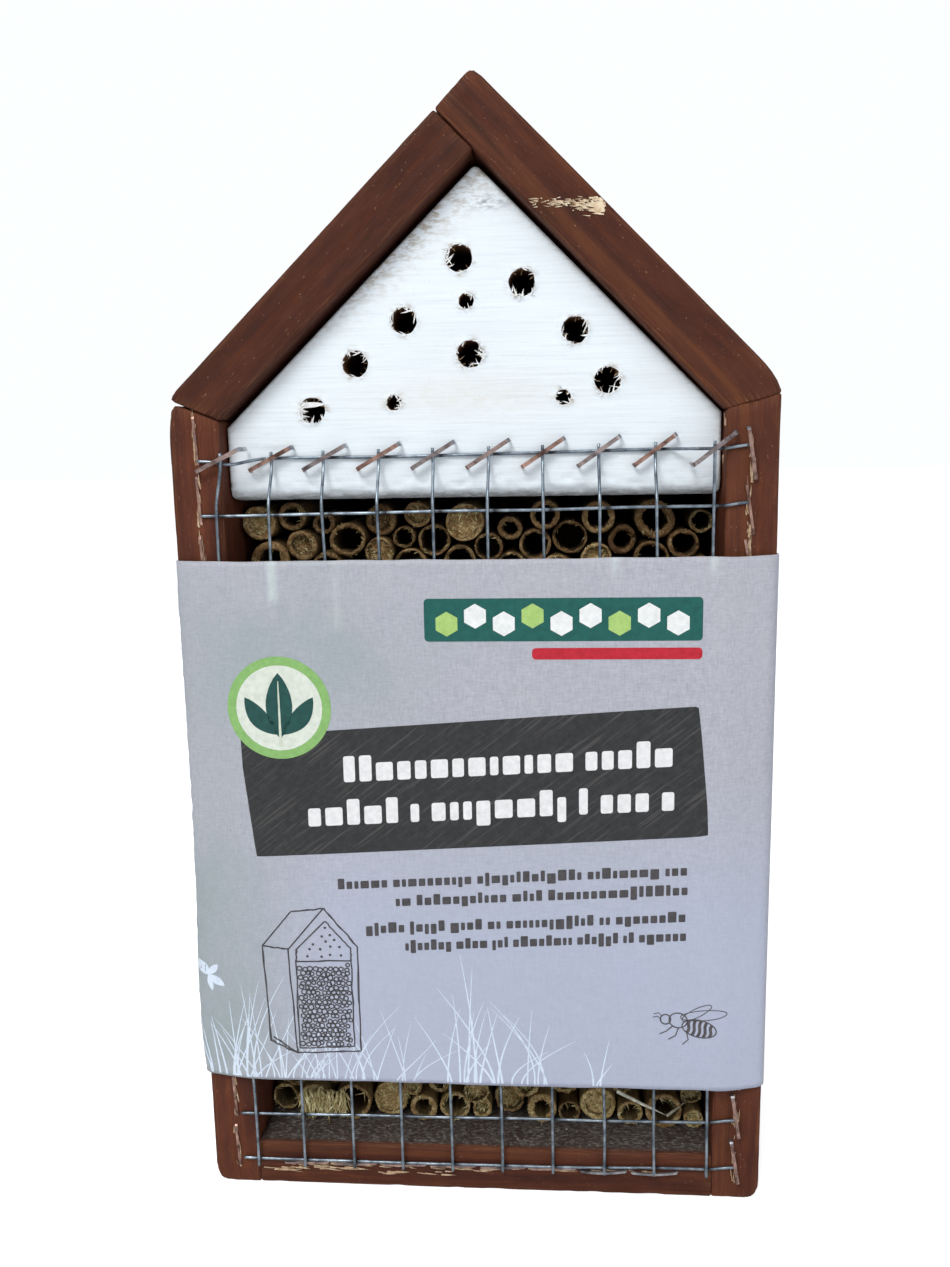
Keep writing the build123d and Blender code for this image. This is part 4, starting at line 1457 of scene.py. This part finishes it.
def build_text_bars():
    """Plain bars in place of the small print, on the front and on the back."""
    ink = Print(INK_LIFT)
    draw = random.Random(9)
    # Left and right end, height and word lengths of each line on the front
    front_lines = [
        (-33.5, 50.0, 87.0, (6, 10, 13, 8, 3)),
        (-19.5, 50.2, 82.1, (2, 11, 4, 16)),
        (-27.0, 49.8, 75.3, (5, 5, 4, 2, 12, 2, 8)),
        (-17.5, 50.0, 70.5, (7, 4, 3, 8, 6, 2, 6)),
    ]
    for left, right, z, lengths in front_lines:
        word_blocks(ink, left, right, z, lengths, 1.9, 0.056, draw)
    right = SLEEVE_ROUND / 2 + 36
    for line in range(7):
        lengths = [(6, 9, 4, 10), (8, 4, 11, 6), (10, 6, 7, 5), (5, 9, 8)][line % 4]
        word_blocks(ink, right - 52 - 2 * (line % 3), right, 128 - 4.8 * line, lengths, 1.7, 0, draw)
    ink.build("small_print_bars", "grey_ink", (0.050, 0.047, 0.052), (0.085, 0.080, 0.088))


def build_house_drawing():
    """Small line drawing of a gabled box with cells."""
    ink = Print(INK_LIFT)
    draw = random.Random(17)
    left, right, low, high = -45.6, -29.4, 39.8, 66.5
    apex = (-37.4, 77.4)
    ridge, eave, foot = (-45.5, 76.4), (-53.0, 67.4), (-52.0, 42.0)
    top_left, top_right = (left - 1.0, high), (right, high + 1.0)
    foot_left, foot_right = (left + 0.2, low - 0.9), (right, low)
    inner_left, inner_right, shelf = left + 0.8, right - 1.6, 63.4
    low_left, low_right = (inner_left, low + 0.4), (inner_right, low + 1.2)
    shelf_left, shelf_right = (inner_left, shelf), (inner_right, shelf + 0.4)
    lines = [
        (foot_left, foot_right), (foot_left, top_left), (foot_right, top_right),
        (top_left, apex), (top_right, apex), (foot, foot_left), (foot, eave),
        (eave, ridge), (ridge, apex), (eave, top_left), ((foot[0] + 0.6, low + 3.4), foot_left),
        (low_left, low_right), (low_left, shelf_left), (low_right, shelf_right), (shelf_left, shelf_right),
        (shelf_left, (inner_left + 0.3, high)), (shelf_right, (inner_right, high + 0.8)),
    ]
    for n, (a, b) in enumerate(lines):
        ink.stroke(between(a, b, 10, 0.28, n * 1.7), 0.34)
        ink.stroke(between(a, b, 10, 0.45, n * 2.3 + 40), 0.16)
    for row in range(18):
        for column in range(11):
            x = inner_left + 1.0 + column * 1.26 + (row % 2) * 0.6 + draw.gauss(0, 0.14)
            z = low + 1.7 + row * 1.25 + draw.gauss(0, 0.14)
            if x < inner_right - 0.7 and z < shelf - 0.7:
                size = draw.uniform(0.48, 0.68)
                ink.ring(ellipse(x, z, size, size * draw.uniform(0.85, 1.1), count=9), 0.34)
    gable = [(inner_left, high - 0.2), (apex[0] + 0.2, apex[1] - 3.4), (inner_right, high + 0.6)]
    for n in range(2):
        ink.stroke(between(gable[n], gable[n + 1], 10, 0.28, n * 3.1 + 9), 0.34)
    for row, count in enumerate((1, 2, 3, 4, 4)):
        for column in range(count):
            x = apex[0] + (column - (count - 1) / 2) * 2.7 + draw.gauss(0, 0.3)
            z = 72.0 - row * 1.75 + draw.gauss(0, 0.3)
            ink.area(ellipse(x, z, 0.34, 0.34, count=8), 1.0)
    ink.build("house_drawing", "pencil_ink", (0.040, 0.038, 0.044), (0.085, 0.080, 0.090))


def build_bee_drawing():
    """Small line drawing of a bee."""
    ink = Print(INK_LIFT)
    tilt = math.radians(-14)

    def at(x, z):
        return turned_point((50.5, 49.0), x, z, tilt)

    # Middle, half sizes, line width and turn of the abdomen, chest, head and two wings
    for x, z, rx, rz, width, turn in (
        (3.2, -0.4, 4.2, 2.2, 0.3, 0.0),
        (-2.2, 0.4, 2.2, 1.9, 0.3, 0.0),
        (-5.2, -0.1, 1.25, 1.25, 0.3, 0.0),
        (3.4, 3.2, 5.6, 1.3, 0.2, 0.34),
        (1.6, 3.4, 4.0, 1.1, 0.2, 0.75),
    ):
        ink.ring(ellipse(*at(x, z), rx, rz, tilt + turn, 26), width)
    for n in range(5):
        x = 0.6 + n * 1.35
        half = 2.1 * math.sqrt(max(1 - ((x - 3.2) / 4.2) ** 2, 0))
        ink.stroke([at(x + 0.25 * math.sin(k), -0.4 - half + 2 * half * k / 6) for k in range(7)], 0.75)
    for leg in (
        ((-3, -1.2), (-4.2, -3.0), (-5.6, -4.2)),
        ((-1.6, -1.4), (-1.8, -3.6), (-3.2, -5.0)),
        ((0.4, -1.8), (1.4, -3.8), (0.4, -5.4)),
    ):
        ink.stroke([at(*joint) for joint in leg], 0.28)
    for lift in (0.4, -0.5):
        ink.stroke([at(-6.1, lift), at(-7.2, lift + 0.7), at(-8.3, lift + 0.1)], 0.2)
    ink.build("bee_drawing", "bee_ink", (0.06, 0.055, 0.06), (0.11, 0.10, 0.11))


def build_grass():
    """Pale blades of grass that rise from the sleeve's lower edge, all the way round."""
    ink = Print(GRASS_LIFT)
    draw = random.Random(23)
    floor = SLEEVE_FLOOR + 0.5
    shares = [i / 14 for i in range(15)]
    for centre, spread, count, height, lean, width in GRASS:
        for _ in range(count):
            base = centre + draw.uniform(-spread, spread)
            reach = draw.uniform(-lean, lean)
            rise = height * draw.uniform(0.35, 1.05)
            curl = draw.uniform(-0.15, 0.15) * abs(reach)
            path = [(base + reach * share ** 1.4 + curl * math.sin(math.pi * share), floor + rise * share)
                    for share in shares]
            ink.stroke(path, [0.06 + width * (1 - share) ** 0.8 for share in shares])
    for x, z, width in ((-63.2, 56.0, 2.0), (-69.4, 62.4, 2.6), (-64.6, 61.6, 1.6), (-66.0, 54.4, 1.2)):
        ink.area(leaf((-66.8, 58.6), (x, z), width), 1.0)
    ink.build("grass_print", "grass_white_ink", (0.62, 0.72, 0.86), (0.74, 0.84, 0.97))


# ---------------------------------------------------------------- wire mesh

WIRE = 0.85
WIRE_SHOWN = 0.74
WIRE_SIDES = 8
WIRE_STEP = 0.7
WELD_REACH = 0.7
DIP_OUTER = 53.7
DIP_INNER = 46.0


def add_wire(points, faces, path, welds, along):
    """Round wire along a path of points, slightly thicker where it is welded."""
    run = np.gradient(path, axis=0)
    run /= np.linalg.norm(run, axis=1)[:, None]
    first = np.cross(run, np.array([0.0, 1.0, 0.0]))
    first /= np.linalg.norm(first, axis=1)[:, None]
    second = np.cross(run, first)
    rings = number_rings(len(points), WIRE_SIDES, len(path))
    for middle, u, v in zip(path, first, second):
        nearest = min(abs(middle[along] - weld) for weld in welds)
        radius = WIRE_SHOWN / 2 * (1 + 0.13 * hump(nearest, 0, WELD_REACH) + 0.04 * rough(*middle))
        for k in range(WIRE_SIDES):
            angle = math.tau * k / WIRE_SIDES
            points.append(middle + radius * (u * math.cos(angle) + v * math.sin(angle)))
    faces += skin(rings) + [rings[0][::-1], rings[-1]]


def wander(values, wave, line, layer):
    """Sideways drift of a wire at places along it."""
    return np.array([rough(value / wave, line, layer) for value in values])


def build_wires():
    """The welded mesh, slightly wavy, in the places of the CAD wires."""
    steel = wire_metal("galvanised_steel", (0.10, 0.13, 0.165), (0.34, 0.41, 0.475),
                       (0.08, 0.08, 0.09), -0.03)
    rows = sorted(loose_parts("mesh_horizontal_wires"), key=lambda box: box[0][2])
    columns = sorted(loose_parts("mesh_vertical_wires"), key=lambda box: box[0][0])
    heights = [(low[2] + high[2]) / 2 for low, high in rows]
    places = [(low[0] + high[0]) / 2 for low, high in columns]
    middle = (places[0] + places[-1]) / 2
    points, faces = [], []
    for n, (low, high) in enumerate(columns):
        z = np.arange(low[2], high[2] + 0.01, WIRE_STEP)
        share = (z - low[2]) / (high[2] - low[2])
        x = high[0] - WIRE / 2 - share * (high[0] - low[0] - WIRE) + 0.45 * wander(z, 34, n * 3.7, 0.0)
        if n == 0:
            x += 0.5 + 1.6 * smooth(z, heights[-2], heights[-1])
        front, back = low[1] + WIRE / 2, high[1] - WIRE / 2
        y = front + (back - front) * smooth(z, heights[-2] + WIRE, heights[-1] - WIRE)
        add_wire(points, faces, np.stack([x, y, z], 1), heights, 2)
    new_piece("welded_upright_wires", "house", points, faces, [steel],
              node="mesh_vertical_wires")
    points, faces = [], []
    for n, (low, high) in enumerate(rows):
        x = np.arange(low[0], high[0] + 0.01, WIRE_STEP)
        share = (x - low[0]) / (high[0] - low[0])
        z = low[2] + WIRE / 2 + share * (high[2] - low[2] - WIRE)
        z += 0.35 * wander(x, 30, n * 5.3, 4.0) + 0.7 * smooth(x, 56.0, 63.0)
        y = np.full(len(x), low[1] + WIRE / 2)
        if n == len(rows) - 1:
            y += (high[1] - low[1] - WIRE) * smooth(-np.abs(x - middle), -DIP_OUTER, -DIP_INNER)
            z -= hump(x, -55.0, 4.0)
        if n == 0:
            z -= 0.5 * (1 - (x / HALF_WIDTH) ** 2)
        add_wire(points, faces, np.stack([x, y, z], 1), places, 0)
    across = np.array(points)[:, 0]
    shade = sum(hump(across, place + 1.2, 1.0) for place in places)
    new_piece("welded_level_wires", "house", points, faces, [steel],
              node="mesh_horizontal_wires", values={"shade": shade})


# ---------------------------------------------------------------- staples, gouges and dust

STAPLE_LEG = 6.0
STAPLE_BEND = 0.7
STAPLE_THICKNESS = 0.5

SCUFF_END = 30.8
SCUFF_LENGTH = 19.0
SCUFF_HEIGHT = 238.4
SCUFF_SLOPE = 0.10


def add_staple(points, faces, tones, start, finish, depth, width, tone, bow, glint):
    """Flat-wire staple between two points of the front view, with its crown at a depth."""
    start, finish = (np.array([x, depth, z]) for x, z in (start, finish))
    along = finish - start
    length = np.linalg.norm(along)
    along /= length
    inward = np.array([0.0, 1.0, 0.0])
    turns = [(1 - math.cos(angle), 1 - math.sin(angle)) for angle in (math.pi / 2 * n / 3 for n in range(4))]
    path = [(start + inward * STAPLE_LEG, -inward)]
    for near, far in turns:
        place = start + (inward * far + along * near) * STAPLE_BEND
        path.append((place, along * (1 - far) - inward * (1 - near)))
    for n in range(1, 8):
        reach = STAPLE_BEND + (length - 2 * STAPLE_BEND) * n / 8
        path.append((start + along * reach - inward * bow * math.sin(math.pi * n / 8), along))
    for near, far in turns:
        place = finish + (inward * near - along * far) * STAPLE_BEND
        path.append((place, along * (1 - near) + inward * (1 - far)))
    path.append((finish + inward * STAPLE_LEG, inward))
    faces += skin(number_rings(len(points), 4, len(path)))
    across = sideways(along)
    for n, (middle, heading) in enumerate(path):
        normal = np.cross(heading, across)
        points += [middle + across * a * width / 2 + normal * b * STAPLE_THICKNESS / 2 for a, b in SQUARE]
        # Painted glint: the last rows at the finishing end are turned towards steel-grey by glint
        tones += [tone + glint * (n >= len(path) - 4)] * 4


def gable_staple(n, count, low, high, draw):
    """Ends, depth, width, tone, bow and glint of a slanted staple on the gable block."""
    tone = (0.35, 0.0, 0.55, 0.0, 0.6)[n % 5]
    ends = (low[0] + 0.5, low[2] + 0.6), (high[0] - 0.5, high[2] - 0.6)
    return *ends, low[1] + 0.3, 0.95, tone, draw.uniform(-0.05, 0.1), 1.0 - tone


def side_staple(lean, first_proud):
    """The same for the staples down a side board. Those at the ends may stand proud of the wood."""
    def shape(n, count, low, high, draw):
        x = (low[0] + high[0]) / 2
        proud = n < first_proud or (first_proud and n == count - 1)
        depth, width, tone, glint = (low[1] + 0.3, 0.8, 0.1, 0.9) if proud else (FRONT - 0.12, 0.6, 0.0, 0.0)
        ends = (x + lean, low[2] + 0.3), (x - lean, high[2] - 0.3)
        return *ends, depth, width, tone, draw.uniform(-0.05, 0.1), glint
    return shape


def bottom_staple(n, count, low, high, draw):
    """The same for the staples along the bottom board. The one at the right bows out of the wood."""
    z = (low[2] + high[2]) / 2
    ends = (low[0] + 0.3, z), (high[0] - 0.3, z + 0.4)
    if (low[0] + high[0]) / 2 > 22:
        return *ends, FRONT - 0.7, 0.6, 0.9, 0.5, 0.1
    return *ends, FRONT - 0.10, 0.55, 0.2, draw.uniform(-0.05, 0.1), 0.0


def build_staples():
    """The staples in the places of the CAD ones: most crowns on the boards are sunk into the wood."""
    metal = wire_metal("copper_plated_steel", (0.10, 0.050, 0.042), (0.58, 0.36, 0.29),
                       (0.13, 0.125, 0.15), 0.02)
    draw = random.Random(14)
    shapes = {
        "gable": gable_staple,
        "left_side": side_staple(0.3, 0),
        "right_side": side_staple(0.9, 2),
        "bottom": bottom_staple,
    }
    for part, shape in shapes.items():
        points, faces, tones = [], [], []
        boxes = sorted(loose_parts(part + "_staples"), key=lambda box: box[0][0] + box[0][2])
        for n, (low, high) in enumerate(boxes):
            add_staple(points, faces, tones, *shape(n, len(boxes), low, high, draw))
        new_piece(part + "_flat_staples", "house", points, faces, [metal],
                  node=part + "_staples", soft=False, values={"tone": tones})


def build_gouges():
    """Pale torn wood beside the staples, and the torn corners of the boards."""
    draw = random.Random(8)
    bits = Bits()
    for low, high in loose_parts("left_side_staples") + loose_parts("right_side_staples"):
        x = (low[0] + high[0]) / 2
        for _ in range(draw.randint(12, 18)):
            z = draw.uniform(low[2] - 0.5, high[2] - 2)
            length = draw.uniform(0.8, 4.5)
            side = x + 0.25 * math.sin(z / 3.1) + draw.gauss(0, 0.28)
            tip = (side + draw.uniform(-0.4, 0.4), FRONT - draw.uniform(0.15, 0.5), z + length)
            bits.sliver((side, FRONT + 0.04, z), tip, draw.uniform(0.12, 0.4), 0.15, (1, 0, 0), -0.05,
                        draw.uniform(0, 1))
    for low, high in loose_parts("bottom_staples"):
        for _ in range(draw.randint(10, 16)):
            x = draw.uniform(low[0] - 0.5, high[0] - 3)
            length = draw.uniform(0.8, 4.5)
            z = (low[2] + high[2]) / 2 + draw.gauss(0, 0.3) - 0.1
            tip = (x + length, FRONT - draw.uniform(0.1, 0.4), z + draw.uniform(-0.3, 0.3))
            bits.sliver((x, FRONT + 0.04, z), tip, draw.uniform(0.12, 0.4), 0.15, (0, 0, 1), 0.06,
                        draw.uniform(0.1, 1))
    for start, end, count in ((-57.3, -30.4, 26), (-27.4, 4.0, 14)):
        for _ in range(count):
            x = draw.uniform(start, end - 3)
            z = 3.9 + 1.5 * (x - start) / (end - start) + draw.gauss(0, 0.25)
            tip = (x + draw.uniform(1.5, 5), FRONT - 0.12, z + draw.gauss(0, 0.2))
            bits.sliver((x, FRONT + 0.05, z), tip, draw.uniform(0.15, 0.5), 0.15, (0, 0, 1), 0.05,
                        draw.uniform(0.3, 1))
    corner = np.array([INSIDE_HALF, FRONT + 0.1, roof_height(1, INSIDE_HALF, BOARD)])
    for _ in range(26):
        base = corner + (draw.uniform(-0.2, 1.5), draw.uniform(-0.15, 4), -draw.uniform(0, 14))
        tip = base + (draw.gauss(0, 0.25), -draw.uniform(0, 0.2), draw.uniform(-2.5, 2.5))
        bits.sliver(base, tip, draw.uniform(0.2, 0.5), 0.2, (1, 0, 0), 0.05, draw.uniform(0, 0.5))
    bits.build("torn_board_fibres", "stained_wood",
               bare_wood("torn_pale_wood", (0.20, 0.105, 0.055), (0.62, 0.47, 0.32)))


def build_roof_scuffs():
    """Level scuff of bare wood across the front edge of the right roof board."""
    draw = random.Random(77)
    bits = Bits()
    for _ in range(280):
        share = draw.random() ** 3.0
        x = SCUFF_END - share * SCUFF_LENGTH - abs(draw.gauss(0, 0.7))
        z = SCUFF_HEIGHT + SCUFF_SLOPE * (SCUFF_END - x) + draw.gauss(0, 0.45 + 0.5 * (1 - share) ** 3)
        if not roof_height(1, x, BOARD) + 1.0 < z < roof_height(1, x) - 0.5:
            continue
        length = draw.uniform(0.4, 2.4) * (1 - 0.65 * share)
        tip = (x - length, FRONT - draw.uniform(0.0, 0.15), z + SCUFF_SLOPE * length + draw.gauss(0, 0.15))
        width = draw.uniform(0.08, 0.32) * (1 - 0.5 * share)
        bits.sliver((x, FRONT + 0.05, z), tip, width, 0.14, (0, 0, 1), 0.04,
                    draw.uniform(0.2, 1) * (1 - 0.6 * share))
    bits.build("roof_scuff_fibres", "stained_wood",
               bare_wood("scuffed_pale_wood", (0.46, 0.30, 0.17), (0.84, 0.72, 0.54)))


def build_dust():
    """Chips and dust on the floor in front of the reeds, and two loose straws."""
    draw = random.Random(12)
    bits = Bits()
    floor = limits("bottom_board")[1][2]
    for _ in range(500):
        x = draw.uniform(-INSIDE_HALF + 1, INSIDE_HALF - 1)
        y = FRONT + draw.uniform(1.5, 19)
        size = draw.uniform(0.05, 0.16) * (2.2 if draw.random() < 0.06 else 1)
        bits.chip((x, y, floor + size * 0.3), (size, size, size * 0.6), draw, draw.uniform(0, 1))
    for _ in range(60):
        x = draw.uniform(-INSIDE_HALF + 2, INSIDE_HALF - 4)
        base = np.array([x, FRONT + draw.uniform(3, 16), floor + 0.02])
        turn = draw.uniform(0, math.tau)
        length = draw.uniform(0.8, 3.4)
        tip = base + (length * math.cos(turn), length * math.sin(turn), draw.uniform(0.1, 0.6) - 0.02)
        bits.sliver(base, tip, draw.uniform(0.06, 0.14), 0.06, (0, 0, 1), 0.02, draw.uniform(0, 0.4))
    y = FRONT + 9.0
    bits.sliver((34.5, y, 23.0), (47.5, y - 1.0, 17.0), 0.9, 0.35, (0, 0, 1), 0.2, 0.9)
    bits.sliver((47.2, y - 1.0, 17.1), (53.2, y + 3.0, 19.4), 0.7, 0.3, (0, 0, 1), 0.1, 0.6)
    bits.build("loose_chips_and_straw", "reed", reed_material(
        "straw_dust", (0.16, 0.14, 0.11), (0.34, 0.31, 0.25), (0.62, 0.58, 0.47), (600, 600, 600), 0.0001))


def finish_cad_nodes():
    """Materials for the CAD nodes that are shown as they are."""
    nail = wire_metal("nail_steel", (0.24, 0.23, 0.22), (0.52, 0.51, 0.49), (0.16, 0.08, 0.045), 0.0, 0.85)
    zinc = wire_metal("zinc_plate", (0.40, 0.41, 0.40), (0.66, 0.67, 0.66), (0.46, 0.43, 0.34), 0.0, 0.6)
    finishes = {"hanger_plate": zinc, "hanger_screws": zinc, "back_panel": plywood()}
    for group in ("base", "eave", "ridge", "block", "back_panel"):
        finishes[group + "_nails"] = nail
    for node, material in finishes.items():
        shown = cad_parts[node].data.materials
        shown.clear()
        shown.append(material)


# ---------------------------------------------------------------- stage, light and camera

CAMERA_PLACE = (20.6, FRONT - 251.8, 189.0)
CAMERA_ANGLES = (80.03, 1.04, 4.34)
CAMERA_LENS = 31.26
FLOOR_REACH = 6.0


def build_floor():
    """Plain pale floor, lifted to near white where the camera sees it."""
    s = Shader("pale_floor")
    tint = s.noise(s.place(), (3, 3, 3), detail=3)
    seen = s.node("LightPath", {}).outputs["Is Camera Ray"]
    s.feed(s.surface, {"Emission Color": (1, 1, 1, 1), "Emission Strength": s.times(seen, 0.70)})
    colour = s.ramp(tint, two_tone(0.3, 0.7, (0.84, 0.84, 0.84), (0.88, 0.88, 0.88)))
    mesh = bpy.data.meshes.new("floor")
    mesh.from_pydata([(a * FLOOR_REACH, b * FLOOR_REACH, 0) for a, b in SQUARE], [], [(0, 1, 2, 3)])
    mesh.materials.append(s.finish(colour, 0.7, specular=0.1))
    floor = bpy.data.objects.new("floor", mesh)
    bpy.context.scene.collection.objects.link(floor)


def area_light(name, place, aim_height, size, power, colour=(1, 1, 1)):
    """Soft square light aimed at a height on the object's axis, all in millimetres."""
    data = bpy.data.lights.new(name, "AREA")
    data.size = size * MM
    data.energy = power
    data.color = colour
    lamp = bpy.data.objects.new(name, data)
    lamp.location = Vector(place) * MM
    aim = Vector((0, 0, aim_height)) - Vector(place)
    lamp.rotation_euler = aim.to_track_quat("-Z", "Y").to_euler()
    bpy.context.scene.collection.objects.link(lamp)


def build_light():
    """Soft daylight-like light from the upper front, with a pale surround."""
    world = bpy.data.worlds.new("pale_surround")
    bpy.context.scene.world = world
    world.use_nodes = True
    tree = world.node_tree
    surround = tree.nodes["Background"]
    surround.inputs["Color"].default_value = (0.96, 0.98, 1.0, 1.0)
    path = tree.nodes.new("ShaderNodeLightPath")
    seen = tree.nodes.new("ShaderNodeMapRange")
    seen.inputs["To Min"].default_value = 0.42
    seen.inputs["To Max"].default_value = 1.02
    tree.links.new(path.outputs["Is Camera Ray"], seen.inputs["Value"])
    tree.links.new(seen.outputs["Result"], surround.inputs["Strength"])
    area_light("key", (-300, -750, 900), 140, 420, 7.5, (1.0, 0.98, 0.95))
    area_light("fill", (700, -700, 420), 130, 700, 2.0, (0.92, 0.96, 1.0))
    area_light("rim", (-300, 800, 700), 150, 600, 3.0)


def build_camera():
    """Camera at the viewing angle of the front, from slightly above."""
    data = bpy.data.cameras.new("camera")
    data.sensor_width = 36.0
    data.lens = CAMERA_LENS
    data.clip_start = 0.01
    camera = bpy.data.objects.new("camera", data)
    camera.location = Vector(CAMERA_PLACE) * MM
    camera.rotation_euler = [math.radians(a) for a in CAMERA_ANGLES]
    bpy.context.scene.collection.objects.link(camera)
    bpy.context.scene.camera = camera
    bpy.context.scene.view_settings.view_transform = "Standard"


nests = nest_holes()
build_boards()
build_block(nests)
build_hole_fibres(nests)
build_reeds()
build_wires()
build_staples()
build_sleeve()
build_banner()
build_badge()
build_panel()
build_text_bars()
build_house_drawing()
build_bee_drawing()
build_grass()
build_gouges()
build_roof_scuffs()
build_dust()
finish_cad_nodes()
build_floor()
build_light()
build_camera()
